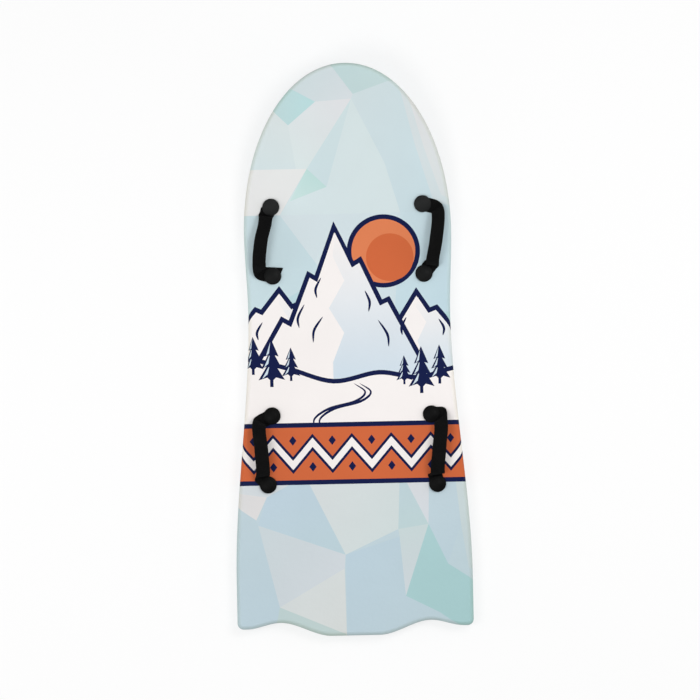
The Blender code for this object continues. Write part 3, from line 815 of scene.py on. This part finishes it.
film, tree, shader, place = finish("printed_film", SNOW, FILM_ROUGHNESS)
ink = add(tree, "ShaderNodeAttribute", attribute_name="print").outputs["Color"]
tone = ranged(tree, noise(tree, place, TONE_SIZE, 3), *TONE_RANGE)
tree.links.new(blended(tree, 1.0, ink, tone, "MULTIPLY"), shader.inputs["Base Color"])
grain = noise(tree, place, GRAIN_SIZE, 3)
foam_cells = cells(tree, place, CELL_SIZE, "SMOOTH_F1")
swell = noise(tree, place, SWELL_SIZE)
dulled(tree, shader, grain, FILM_ROUGHNESS_RANGE)
shader.inputs["Specular IOR Level"].default_value = FILM_SPECULAR
shader.inputs["Coat Weight"].default_value = FILM_COAT
shader.inputs["Coat Roughness"].default_value = FILM_COAT_ROUGHNESS
relief(tree, shader, [(swell, SWELL_DEPTH), (foam_cells, CELL_DEPTH), (grain, GRAIN_DEPTH)])

# The skin's back follows its face at its own thickness, and a narrow border closes its cut edges.
count = len(surface)
sides = np.concatenate([triangles[:, (0, 1)], triangles[:, (1, 2)], triangles[:, (2, 0)]])
both_ways = set(map(tuple, sides.tolist()))
cut = np.array([(a, b) for a, b in sides.tolist() if (b, a) not in both_ways])
border = np.column_stack([cut[:, 1], cut[:, 0], cut[:, 0] + count, cut[:, 1] + count])
shell = np.concatenate([surface, surface - facing * SKIN_THICKNESS])
faces = triangles.tolist() + (triangles[:, ::-1] + count).tolist() + border.tolist()
skin = piece("printed_deck_skin", shell, faces, film)
along = shell[border[:, 1]] - shell[border[:, 0]]
square = np.cross(along, shell[border[:, 2]] - shell[border[:, 1]])
square /= np.maximum(np.linalg.norm(square, axis=1), 1e-12)[:, None]
normals = [facing[triangles.ravel()], -facing[triangles[:, ::-1].ravel()], np.repeat(square, 4, axis=0)]
skin.data.normals_split_custom_set(np.concatenate(normals).tolist())
plain_foam = np.tile(tint(*FOAM_WHITE), (len(triangles) * 3 + len(border) * 4, 1))
inked = np.concatenate([linear, plain_foam])
ink_layer = skin.data.color_attributes.new("print", "FLOAT_COLOR", "CORNER")
ink_layer.data.foreach_set("color", np.column_stack([inked, np.ones(len(inked))]).ravel())
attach(skin, "board")
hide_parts("deck_skin")


# Webbing hand straps
# Four lengths of flat black polypropylene webbing, 25 mm wide and 2 mm thick, one for each hand. Both
# ends of each are clamped flat under round caps, and the middle arches up as a grip. The weave shows
# as rows of short raised yarns between two rounded selvedges.

WEBBING_WIDTH = 0.025
WEBBING_THICKNESS = 0.002
WEBBING_GAP = 0.0006
END_TAIL = 0.0085
END_REACH = 0.0165
SPAN_HEIGHT = 0.030
SHOULDER_HEIGHT = 0.0205
SHOULDER_RUN_IN = 0.016
SHOULDER_LEAN_IN = 0.003
SHOULDER_YAW = 0.12
SHOULDER_CLIMB = 0.75
SHOULDER_SIDEWAYS = 0.25
RISE_BEND = 1.25
SPAN_BEND = 1.1
SECTION_STEPS = 24

# The weave. The selvedge is the rounded edge, and the yarns rise from a thinner middle.
SELVEDGE_RADIUS = 0.00095
BASE_THICKNESS = 0.0013
YARN_PITCH = 0.00125
YARN_WIDTH = 0.0012
YARN_LENGTH = 0.0023
YARN_RISE = 0.00034

# The angles that the webbing leaves its fore and aft cap at, measured outwards from the line between
# the caps. Then how far outside that line the span runs at its fore shoulder, middle and aft shoulder,
# and how many degrees it tilts outwards.
LIES = {
    "front_right": ((75, 38), (0.0268, 0.0222, 0.0150), 22),
    "front_left": ((30, 76), (0.0096, 0.0190, 0.0228), 18),
    "rear_right": ((90, -14), (0.0150, 0.0081, 0.0020), 6),
    "rear_left": ((64, 42), (0.0215, 0.0150, 0.0097), 12),
}
# Corners of cut ends that stick out beside their cap, by end (fore is 0) and edge (inner is 0): how
# far the corner is moved along the webbing and across it.
LOOSE_CORNERS = {
    "front_left": {(0, 1): (0.0181, 0.0022), (1, 0): (-0.0055, -0.0058)},
}
# The part of a strap that bends as it swings, in heights above the line between the caps.
BEND_START = 0.0045
BEND_END = 0.014

WEBBING_BLACK = (9, 9, 9)
WEBBING_WORN = (14, 14, 14)
WEBBING_ROUGHNESS = 0.6
WEBBING_ROUGHNESS_RANGE = (0.5, 0.72)
WEBBING_SPECULAR = 0.06
WEBBING_SHEEN = 0.01
WEBBING_SHEEN_ROUGHNESS = 0.5
FIBRE_SIZE = 0.00035
FIBRE_DEPTH = 0.00008
RUBBED_SIZE = 0.018


def node_group(name, sizes):
    """An empty geometry node tree with named inputs, each with the kind of its socket."""
    tree = bpy.data.node_groups.new(name, "GeometryNodeTree")
    tree.interface.new_socket("Geometry", in_out="INPUT", socket_type="NodeSocketGeometry")
    tree.interface.new_socket("Geometry", in_out="OUTPUT", socket_type="NodeSocketGeometry")
    for size, kind in sizes.items():
        tree.interface.new_socket(size, in_out="INPUT", socket_type="NodeSocket" + kind)
    return tree, add(tree, "NodeGroupInput").outputs, add(tree, "NodeGroupOutput").inputs["Geometry"]


def grow(obj, tree, values):
    """Runs a node tree on an object with the given inputs, and keeps the result as its plain mesh."""
    modifier = obj.modifiers.new(tree.name, "NODES")
    modifier.node_group = tree
    for socket in tree.interface.items_tree:
        if socket.in_out == "INPUT" and socket.name in values:
            modifier[socket.identifier] = values[socket.name]
    return plain(obj)


def output(tree, kind, inputs=None, **settings):
    """Adds a node and gives its first output."""
    return add(tree, kind, inputs, **settings).outputs[0]


def vector_of(tree, name):
    """Reads a vector attribute in a node tree."""
    return output(tree, "GeometryNodeInputNamedAttribute", {"Name": name}, data_type="FLOAT_VECTOR")


def scaled(tree, vector, factor):
    """A vector times a number."""
    return output(tree, "ShaderNodeVectorMath", {0: vector, "Scale": factor}, operation="SCALE")


def maths(tree, operation, one, two):
    """Two numbers put together."""
    return output(tree, "ShaderNodeMath", {0: one, 1: two}, operation=operation)


def yarn_rows(tree, sheet, side, sizes):
    """The raised yarns on one face of the webbing, one in every other cell."""
    weave = output(tree, "GeometryNodeInputNamedAttribute", {"Name": "weave"}, data_type="FLOAT")
    over = output(tree, "FunctionNodeCompare", {0: weave, 1: float(side)}, data_type="FLOAT",
                  operation="EQUAL")
    spots = output(tree, "GeometryNodeMeshToPoints", {"Mesh": sheet, "Selection": over},
                   mode="FACES")
    out = scaled(tree, vector_of(tree, "out"), float(side))
    lift = scaled(tree, out, maths(tree, "DIVIDE", sizes["Base Thickness"], 2.0))
    spots = output(tree, "GeometryNodeSetPosition", {"Geometry": spots, "Offset": lift})
    facing = output(tree, "FunctionNodeAxesToRotation", {0: out, 1: vector_of(tree, "run")},
                    primary_axis="Z", secondary_axis="Y")
    ball = output(tree, "GeometryNodeMeshUVSphere", {"Segments": 6, "Rings": 4, "Radius": 0.5})
    lie = output(tree, "ShaderNodeCombineXYZ", {
        "X": sizes["Yarn Width"], "Y": sizes["Yarn Length"],
        "Z": maths(tree, "MULTIPLY", sizes["Yarn Rise"], 2.0)})
    return output(tree, "GeometryNodeInstanceOnPoints",
                  {"Points": spots, "Instance": ball, "Rotation": facing, "Scale": lie})


def webbing_tree():
    """From a flat sheet of cells: a base with thickness, two faces of yarns, and a rounded selvedge."""
    kinds = {"Base Thickness": "Float", "Yarn Width": "Float", "Yarn Length": "Float", "Yarn Rise": "Float",
             "Selvedge Radius": "Float", "Finish": "Material"}
    tree, sizes, result = node_group("woven_webbing", kinds)
    sheet = sizes["Geometry"]
    out = vector_of(tree, "out")
    sunk = scaled(tree, out, maths(tree, "DIVIDE", sizes["Base Thickness"], -2.0))
    lower = output(tree, "GeometryNodeSetPosition", {"Geometry": sheet, "Offset": sunk})
    upper = output(tree, "GeometryNodeExtrudeMesh", {
        "Mesh": lower, "Offset": out, "Offset Scale": sizes["Base Thickness"], "Individual": False},
        mode="FACES")
    under = output(tree, "GeometryNodeFlipFaces", {"Mesh": lower})
    sides = output(tree, "GeometryNodeInputMeshEdgeNeighbors")
    border = output(tree, "FunctionNodeCompare", {2: sides, 3: 1}, data_type="INT",
                    operation="EQUAL")
    edge = output(tree, "GeometryNodeMeshToCurve", {"Mesh": sheet, "Selection": border})
    round_edge = output(tree, "GeometryNodeCurvePrimitiveCircle",
                        {"Resolution": 10, "Radius": sizes["Selvedge Radius"]})
    selvedge = output(tree, "GeometryNodeCurveToMesh", {"Curve": edge, "Profile Curve": round_edge})
    join = add(tree, "GeometryNodeJoinGeometry")
    for part in (upper, under):
        tree.links.new(part, join.inputs[0])
    base = output(tree, "GeometryNodeMergeByDistance",
                  {"Geometry": join.outputs[0], "Distance": 0.00001})
    join = add(tree, "GeometryNodeJoinGeometry")
    for part in (base, selvedge, yarn_rows(tree, sheet, 1, sizes), yarn_rows(tree, sheet, -1, sizes)):
        tree.links.new(part, join.inputs[0])
    whole = output(tree, "GeometryNodeRealizeInstances", {"Geometry": join.outputs[0]})
    whole = output(tree, "GeometryNodeSetShadeSmooth", {"Geometry": whole})
    whole = output(tree, "GeometryNodeSetMaterial", {"Geometry": whole, "Material": sizes["Finish"]})
    tree.links.new(whole, result)
    return tree


def flat_section(spot, side, angle, end, reach):
    """The two edges of the webbing where it lies on the deck, and the way that it runs."""
    towards_other = -1 if end == 0 else 1
    along = Vector((side * math.sin(angle), towards_other * math.cos(angle), 0))
    across = Vector((side * math.cos(angle), -towards_other * math.sin(angle), 0))
    middle = along * reach + Vector((0, 0, WEBBING_GAP + WEBBING_THICKNESS / 2))
    place = rivet_place(*spot)
    edges = [place @ (middle + across * share * WEBBING_WIDTH / 2) for share in (-1, 1)]
    return edges, place.to_3x3() @ along


def strap_frame(spots, side):
    """Origin midway between the two caps, X towards the fore cap, Y outwards, Z up."""
    fore, aft = (rivet_place(*spot).translation for spot in spots)
    along = (fore - aft).normalized()
    out = Vector((side, 0, 0))
    out = (out - along * out.dot(along)).normalized()
    up = along.cross(out) * side * -1
    if up.z < 0:
        up.negate()
    made = Matrix((along, out, up)).transposed().to_4x4()
    made.translation = (fore + aft) / 2
    return made, (fore - aft).length / 2


def tilted_section(base, middle, yaw, tilt):
    """The two edges of the span, tilted outwards and turned by the yaw towards its cap."""
    level = math.cos(tilt)
    across = Vector((math.sin(yaw) * level, math.cos(yaw) * level, -math.sin(tilt)))
    return [base @ (middle + across * share * WEBBING_WIDTH / 2) for share in (-1, 1)]


def shoulder_section(base, half, angle, offset, tilt, end):
    """Where the webbing has risen from the deck and turned along the board."""
    sign = 1 if end == 0 else -1
    yaw = SHOULDER_YAW * angle
    run_in = SHOULDER_RUN_IN + SHOULDER_LEAN_IN * math.cos(angle)
    middle = Vector((sign * (half - run_in), offset, SHOULDER_HEIGHT))
    travel = Vector((-sign * math.cos(yaw), math.sin(yaw) * SHOULDER_SIDEWAYS, SHOULDER_CLIMB)).normalized()
    return tilted_section(base, middle, sign * yaw, tilt), base.to_3x3() @ travel


def swept(first, second, stretch):
    """Pairs of edge points on cubic curves from one section to the next, without the first one."""
    (first_edges, first_travel), (second_edges, second_travel) = first, second
    pairs = []
    for i in range(1, SECTION_STEPS + 1):
        share, rest = i / SECTION_STEPS, 1 - i / SECTION_STEPS
        pair = []
        for a, d in zip(first_edges, second_edges):
            reach = (d - a).length * stretch / 3
            b, c = a + first_travel * reach, d - second_travel * reach
            pair.append(a * rest**3 + b * 3 * rest**2 * share + c * 3 * rest * share**2 + d * share**3)
        pairs.append(pair)
    return pairs


def strap_edges(spots, side, angles, offsets, tilt, corners):
    """Pairs of edge points along the whole strap, from its fore end to its aft end."""
    base, half = strap_frame(spots, side)
    halves = []
    shoulders = []
    for end in (0, 1):
        tail, travel = flat_section(spots[end], side, angles[end], end, -END_TAIL)
        across = (tail[1] - tail[0]).normalized()
        for edge in (0, 1):
            along_shift, across_shift = corners.get((end, edge), (0, 0))
            tail[edge] = tail[edge] + travel * along_shift + across * across_shift
        foot = flat_section(spots[end], side, angles[end], end, END_REACH)
        shoulder = shoulder_section(base, half, angles[end], offsets[2 * end], tilt, end)
        halves.append([tail, foot[0]] + swept(foot, shoulder, RISE_BEND))
        shoulders.append(shoulder)
    drift = (offsets[2] - offsets[0]) / (2 * half - 2 * SHOULDER_RUN_IN)
    travel = base.to_3x3() @ Vector((-1, drift, 0)).normalized()
    middle = tilted_section(base, Vector((0, offsets[1], SPAN_HEIGHT)), 0, tilt)
    fore_span = swept(shoulders[0], (middle, travel), SPAN_BEND)
    aft_span = swept((middle, travel), (shoulders[1][0], -shoulders[1][1]), SPAN_BEND)
    return np.array(halves[0] + fore_span + aft_span[:-1] + halves[1][::-1])


def woven_strap(name, spots, side, angles, offsets, tilt, corners, tree, material):
    """One strap: a sheet of weave cells along its path, grown into webbing."""
    edges = strap_edges(spots, side, angles, offsets, tilt, corners)
    middle = edges.mean(axis=1)
    travelled = np.concatenate([[0], np.cumsum(np.linalg.norm(np.diff(middle, axis=0), axis=1))])
    rows = round(travelled[-1] / YARN_PITCH)
    stops = np.linspace(0, travelled[-1], rows + 1)
    inner, outer = (np.stack([np.interp(stops, travelled, edges[:, e, axis]) for axis in range(3)], axis=1)
                    for e in (0, 1))
    half = (WEBBING_WIDTH / 2 - SELVEDGE_RADIUS) / (WEBBING_WIDTH / 2)
    columns = round((WEBBING_WIDTH - 2 * SELVEDGE_RADIUS) / YARN_PITCH)
    shares = (np.linspace(-half, half, columns + 1) + 1) / 2
    grid = inner[:, None] * (1 - shares[None, :, None]) + outer[:, None] * shares[None, :, None]
    run = np.gradient((inner + outer) / 2, axis=0)
    run /= np.linalg.norm(run, axis=1)[:, None]
    out = np.cross(run, outer - inner)
    out /= np.linalg.norm(out, axis=1)[:, None]
    if out[rows // 2, 2] < 0:
        out = -out
    wide = columns + 1
    flipped = side > 0
    faces, weave, runs, outs = [], [], [], []
    for row in range(rows):
        for column in range(columns):
            a = row * wide + column
            face = (a, a + 1, a + wide + 1, a + wide)
            faces.append(face if flipped else face[::-1])
            weave.append(1.0 if (row + column) % 2 else -1.0)
            runs.append((run[row] + run[row + 1]) / 2)
            outs.append((out[row] + out[row + 1]) / 2)
    made = piece(name, grid.reshape(-1, 3), faces, material)
    attributes = made.data.attributes
    attributes.new("weave", "FLOAT", "FACE").data.foreach_set("value", weave)
    attributes.new("run", "FLOAT_VECTOR", "FACE").data.foreach_set("vector", np.ravel(runs))
    attributes.new("out", "FLOAT_VECTOR", "FACE").data.foreach_set("vector", np.ravel(outs))
    return grow(made, tree, {
        "Base Thickness": BASE_THICKNESS, "Yarn Width": YARN_WIDTH, "Yarn Length": YARN_LENGTH,
        "Yarn Rise": YARN_RISE, "Selvedge Radius": SELVEDGE_RADIUS, "Finish": material})


webbing, tree, shader, place = finish("black_polypropylene_webbing", WEBBING_BLACK,
                                      WEBBING_ROUGHNESS)
fibres = noise(tree, place, FIBRE_SIZE, 4)
rubbed = ranged(tree, noise(tree, place, RUBBED_SIZE, 3), 0, 1, 0.5, 0.8)
varied(tree, shader, rubbed, WEBBING_BLACK, WEBBING_WORN)
dulled(tree, shader, fibres, WEBBING_ROUGHNESS_RANGE)
shader.inputs["Specular IOR Level"].default_value = WEBBING_SPECULAR
shader.inputs["Sheen Weight"].default_value = WEBBING_SHEEN
shader.inputs["Sheen Roughness"].default_value = WEBBING_SHEEN_ROUGHNESS
relief(tree, shader, [(fibres, FIBRE_DEPTH)])

weave_tree = webbing_tree()
for name, (angles, offsets, tilt) in LIES.items():
    spots = RIVETS[name]
    side = 1 if spots[0][0] > 0 else -1
    angles = [math.radians(angle) for angle in angles]
    tilt = math.radians(tilt)
    corners = LOOSE_CORNERS.get(name, {})
    strap = woven_strap(name + "_webbing", spots, side, angles, offsets, tilt, corners, weave_tree,
                        webbing)
    base, _ = strap_frame(spots, side)
    bend_start, bend_end = (base @ Vector((0, 0, height)) for height in (BEND_START, BEND_END))
    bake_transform(strap, "board", name + "_span", start=bend_start, end=bend_end)
    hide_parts(name + "_strap", name + "_strap_fore_end", name + "_strap_aft_end")


# Strap caps
# Eight round caps, moulded in black plastic in one piece with a hollow post. The head is a low dome
# with a fine ring in it. The post goes down through the webbing and the board, and the head clamps
# the webbing to the deck.

CAP_RADIUS = 0.015
CAP_GAP = 0.0003
CAP_UNDERSIDE = WEBBING_GAP + WEBBING_THICKNESS + CAP_GAP
CAP_HEIGHT = 0.0042
CAP_DOME = 0.0023
CAP_LIP = 0.0007
RING_RADIUS = 0.0108
RING_WIDTH = 0.0009
RING_DEPTH = 0.00028
POST_RADIUS = 0.005
POST_BORE = 0.0032
POST_BORE_DEPTH = 0.024
POST_GAP = 0.0006
POST_FOOT = -THICKNESS + DISH_DEPTH + SHEET_THICKNESS + POST_GAP
TURN_STEPS = 72
DOME_STEPS = 40
DOME_POWER = 2.2
LIP_STEPS = 7

CAP_BLACK = (6, 6, 6)
CAP_HIGHLIGHT_GREY = (34, 35, 35)
PLASTIC_SPECULAR = 0.06
CAP_ROUGHNESS = 0.46
SPARK_SIZE = 0.00045
SPARK_DEPTH = 0.00005
HANDLED_SIZE = 0.007
HANDLED_SHINE = 0.06
HANDLED_DULL = 0.08
SHARP_ANGLE = math.radians(40)
# Painted highlight: the plastic is lightened grey, more and more from the middle of the board to its nose.
HIGHLIGHT_START = 0.06
HIGHLIGHT_END = 0.25


def turned(name, profile, material):
    """A round piece from its profile, which runs from the top down its outer side."""
    mesh = bmesh.new()
    corners = [mesh.verts.new((radius, 0, height)) for radius, height in profile]
    for upper, lower in zip(corners, corners[1:]):
        mesh.edges.new((upper, lower))
    made = piece(name, [], [], material)
    mesh.to_mesh(made.data)
    mesh.free()
    screw = made.modifiers.new("turn", "SCREW")
    screw.steps = screw.render_steps = TURN_STEPS
    screw.use_merge_vertices = True
    screw.merge_threshold = 0.00001
    return plain(made)


def rivet_tree():
    """Sets a piece on every point, by the point's own axis and slot direction."""
    tree, sizes, result = node_group("row_of_rivets", {"Piece": "Object", "Finish": "Material"})
    source = add(tree, "GeometryNodeObjectInfo", {"Object": sizes["Piece"]}).outputs["Geometry"]
    axes = {0: vector_of(tree, "axis"), 1: vector_of(tree, "slot")}
    facing = output(tree, "FunctionNodeAxesToRotation", axes, primary_axis="Z",
                    secondary_axis="X")
    row = output(tree, "GeometryNodeInstanceOnPoints",
                 {"Points": sizes["Geometry"], "Instance": source, "Rotation": facing})
    row = output(tree, "GeometryNodeRealizeInstances", {"Geometry": row})
    row = output(tree, "GeometryNodeSetMaterial", {"Geometry": row, "Material": sizes["Finish"]})
    tree.links.new(row, result)
    return tree


def rivet_row(name, one, tree, material):
    """A copy of one piece at each rivet, as a single mesh."""
    rng = np.random.default_rng(7)
    row = piece(name, [place.translation for place in rivet_places], [], material)
    turns = [Matrix.Rotation(angle, 3, "Z") for angle in rng.uniform(0, math.pi, len(rivet_places))]
    axes = [place.to_3x3() @ Vector((0, 0, 1)) for place in rivet_places]
    slots = [place.to_3x3() @ turn @ Vector((1, 0, 0)) for place, turn in zip(rivet_places, turns)]
    row.data.attributes.new("axis", "FLOAT_VECTOR", "POINT").data.foreach_set("vector", np.ravel(axes))
    row.data.attributes.new("slot", "FLOAT_VECTOR", "POINT").data.foreach_set("vector", np.ravel(slots))
    grow(row, tree, {"Piece": one, "Finish": material})
    bpy.data.objects.remove(one)
    return row


def moulded(name, roughness):
    """Black moulded plastic with a fine spark-eroded grain, lightened grey towards the nose by a painted
    highlight.
    """
    made, tree, shader, place = finish(name, CAP_BLACK, roughness)
    along = add(tree, "ShaderNodeSeparateXYZ", {0: place}).outputs["Y"]
    # Painted highlight: the base colour runs from black to grey towards the nose.
    varied(tree, shader, ranged(tree, along, 0, 1, HIGHLIGHT_START, HIGHLIGHT_END), CAP_BLACK, CAP_HIGHLIGHT_GREY)
    grain = noise(tree, place, SPARK_SIZE, 4)
    handled = noise(tree, place, HANDLED_SIZE)
    dulled(tree, shader, handled, (roughness - HANDLED_SHINE, roughness + HANDLED_DULL))
    shader.inputs["Specular IOR Level"].default_value = PLASTIC_SPECULAR
    relief(tree, shader, [(grain, SPARK_DEPTH)])
    return made


cap_top = CAP_UNDERSIDE + CAP_HEIGHT
cap_profile = []
for share in np.linspace(0, 1, DOME_STEPS):
    radius = share * (CAP_RADIUS - CAP_LIP)
    groove = RING_DEPTH * eased(1 - abs(radius - RING_RADIUS) / RING_WIDTH)
    cap_profile.append((radius, cap_top - CAP_DOME * share**DOME_POWER - groove))
lip_height = cap_profile[-1][1] - CAP_LIP
for angle in np.linspace(0, math.pi / 2, LIP_STEPS)[1:]:
    cap_profile.append((CAP_RADIUS - CAP_LIP * (1 - math.sin(angle)),
                        lip_height + CAP_LIP * math.cos(angle)))
cap_profile += [(CAP_RADIUS, CAP_UNDERSIDE + CAP_LIP / 2), (CAP_RADIUS - CAP_LIP / 2, CAP_UNDERSIDE),
                (POST_RADIUS, CAP_UNDERSIDE), (POST_RADIUS, POST_FOOT), (POST_BORE, POST_FOOT),
                (POST_BORE, POST_FOOT + POST_BORE_DEPTH), (0, POST_FOOT + POST_BORE_DEPTH)]
rivets = rivet_tree()
cap_finish = moulded("moulded_cap_plastic", CAP_ROUGHNESS)
caps = rivet_row("strap_caps", turned("cap", cap_profile, cap_finish), rivets, cap_finish)
caps.data.set_sharp_from_angle(angle=SHARP_ANGLE)
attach(caps, "board")
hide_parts(*[f"{name}_{end}_cap" for name in RIVETS for end in ("fore", "aft")])


# Clamp screws
# Eight flanged screws of the same black plastic come up from below, one into each cap's post. The
# wide flange lies in its dish just clear of the snow, and has a slot across it for a coin.

FLANGE_RADIUS = 0.0175
FLANGE_THICKNESS = 0.002
FLANGE_ROUND = 0.0008
FLANGE_DISH = 0.0003
SHANK_RADIUS = 0.0029
SHANK_LENGTH = 0.022
SLOT_SIZE = (0.020, 0.0026, 0.0022)
SLOT_ROUND = 0.0003
FLUSH = 0.0004
FLANGE_STEPS = 6
SCREW_ROUGHNESS = 0.42

foot = -THICKNESS + FLUSH
seat = foot + FLANGE_THICKNESS
screw_profile = [(0, seat + SHANK_LENGTH), (SHANK_RADIUS - FLANGE_ROUND, seat + SHANK_LENGTH),
                 (SHANK_RADIUS, seat + SHANK_LENGTH - FLANGE_ROUND), (SHANK_RADIUS, seat),
                 (FLANGE_RADIUS - FLANGE_ROUND / 2, seat), (FLANGE_RADIUS, seat - FLANGE_ROUND / 2)]
for angle in np.linspace(0, math.pi / 2, FLANGE_STEPS):
    screw_profile.append((FLANGE_RADIUS - FLANGE_ROUND * (1 - math.cos(angle)),
                          foot + FLANGE_ROUND * (1 - math.sin(angle))))
for share in (0.8, 0.78, 0.6, 0.3, 0):
    raised = FLANGE_DISH if share < 0.8 else 0
    screw_profile.append((FLANGE_RADIUS * share, foot + raised))
screw_finish = moulded("moulded_screw_plastic", SCREW_ROUGHNESS)
one_screw = turned("screw", screw_profile, screw_finish)
slot_mesh = bmesh.new()
slot_size = Matrix.Translation((0, 0, foot)) @ Matrix.Diagonal((*SLOT_SIZE, 1))
bmesh.ops.create_cube(slot_mesh, size=1, matrix=slot_size)
bmesh.ops.bevel(slot_mesh, geom=slot_mesh.edges[:], offset=SLOT_ROUND, segments=2, affect="EDGES")
slot_cutter = piece("slot_cutter", [], [], screw_finish)
slot_mesh.to_mesh(slot_cutter.data)
slot_mesh.free()
cut = one_screw.modifiers.new("slot", "BOOLEAN")
cut.object = slot_cutter
cut.operation = "DIFFERENCE"
plain(one_screw)
bpy.data.objects.remove(slot_cutter)
screws = rivet_row("clamp_screws", one_screw, rivets, screw_finish)
screws.data.set_sharp_from_angle(angle=SHARP_ANGLE)
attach(screws, "board")
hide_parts(*[f"{name}_{end}_screw" for name in RIVETS for end in ("fore", "aft")])


# Studio
# The sled lies flat on a white floor and is seen from straight above through a long lens, with its
# nose leaning a little to the left. Two broad soft lamps and an even sky light it.

PICTURE_WIDTH = 1.225
PICTURE_LEAN = math.radians(1.2)
LENS = 300
SENSOR = 36
FLOOR_SIZE = 14
FLOOR_DROP = 0.0006
SKY_STRENGTH = 0.40
FLOOR_GLOW = 0.75
CEILING_START = 0.55
FLOOR_WHITE = (250, 250, 250)
LAMPS = {
    "key": {"place": (0.9, 0.5, 2.6), "size": 1.0, "power": 24.8},
    "fill": {"place": (-0.9, -0.5, 2.6), "size": 1.0, "power": 22.4},
    "left_strip": {"place": (-1.9, 0.0, 0.75), "size": 1.0, "power": 4.5},
    "right_strip": {"place": (1.9, 0.0, 0.75), "size": 1.0, "power": 4.5},
}

floor_mesh = bmesh.new()
bmesh.ops.create_grid(floor_mesh, x_segments=1, y_segments=1, size=FLOOR_SIZE / 2)
floor_finish, tree, shader, place = finish("white_floor", FLOOR_WHITE, 0.9)
shader.inputs["Specular IOR Level"].default_value = 0.0
path = add(tree, "ShaderNodeLightPath").outputs
seen = maths(tree, "MAXIMUM", path["Is Camera Ray"], maths(tree, "MAXIMUM", path["Is Glossy Ray"],
                                                            path["Is Transmission Ray"]))
glow = add(tree, "ShaderNodeEmission", {"Strength": 1.0})
share = maths(tree, "MULTIPLY", seen, FLOOR_GLOW)
lit = add(tree, "ShaderNodeMixShader", {0: share, 1: shader.outputs[0], 2: glow.outputs[0]})
clear = add(tree, "ShaderNodeBsdfTransparent")
below = add(tree, "ShaderNodeNewGeometry").outputs["Backfacing"]
either = add(tree, "ShaderNodeMixShader", {0: below, 1: lit.outputs[0], 2: clear.outputs[0]})
tree.links.new(either.outputs[0], tree.nodes["Material Output"].inputs["Surface"])
floor = piece("studio_floor", [], [], floor_finish)
floor_mesh.to_mesh(floor.data)
floor_mesh.free()
floor.data.transform(Matrix.Translation((0, 0, -FLOOR_DROP)))

world = bpy.data.worlds.new("studio")
world.use_nodes = True
bpy.context.scene.world = world
tree = world.node_tree
sky = tree.nodes["Background"]
sky.inputs["Color"].default_value = (1, 1, 1, 1)
path = add(tree, "ShaderNodeLightPath").outputs
direction = add(tree, "ShaderNodeTexCoord").outputs["Generated"]
upwards = add(tree, "ShaderNodeSeparateXYZ", {0: direction}).outputs["Z"]
backdrop = maths(tree, "LESS_THAN", upwards, CEILING_START)
mirrored = maths(tree, "MAXIMUM", path["Is Glossy Ray"], path["Is Transmission Ray"])
seen = maths(tree, "MAXIMUM", path["Is Camera Ray"], maths(tree, "MULTIPLY", mirrored, backdrop))
strength = output(tree, "ShaderNodeMapRange", {"Value": seen, "To Min": SKY_STRENGTH, "To Max": 1.0})
tree.links.new(strength, sky.inputs["Strength"])

for name, lamp in LAMPS.items():
    light = bpy.data.lights.new(name, "AREA")
    light.size = lamp["size"]
    light.energy = lamp["power"]
    lamp_object = bpy.data.objects.new(name, light)
    lamp_object.location = lamp["place"]
    lamp_object.rotation_euler = Vector(lamp["place"]).to_track_quat("Z", "Y").to_euler()
    lamp_object.visible_camera = False
    bpy.context.scene.collection.objects.link(lamp_object)

camera_data = bpy.data.cameras.new("camera")
camera_data.lens = LENS
camera_data.sensor_width = SENSOR
camera_data.clip_end = 100
camera = bpy.data.objects.new("camera", camera_data)
distance = PICTURE_WIDTH * LENS / SENSOR
camera.location = (0, 0, THICKNESS + distance)
camera.rotation_euler = (0, 0, -PICTURE_LEAN)
bpy.context.scene.collection.objects.link(camera)
bpy.context.scene.camera = camera
bpy.context.scene.view_settings.view_transform = "Standard"
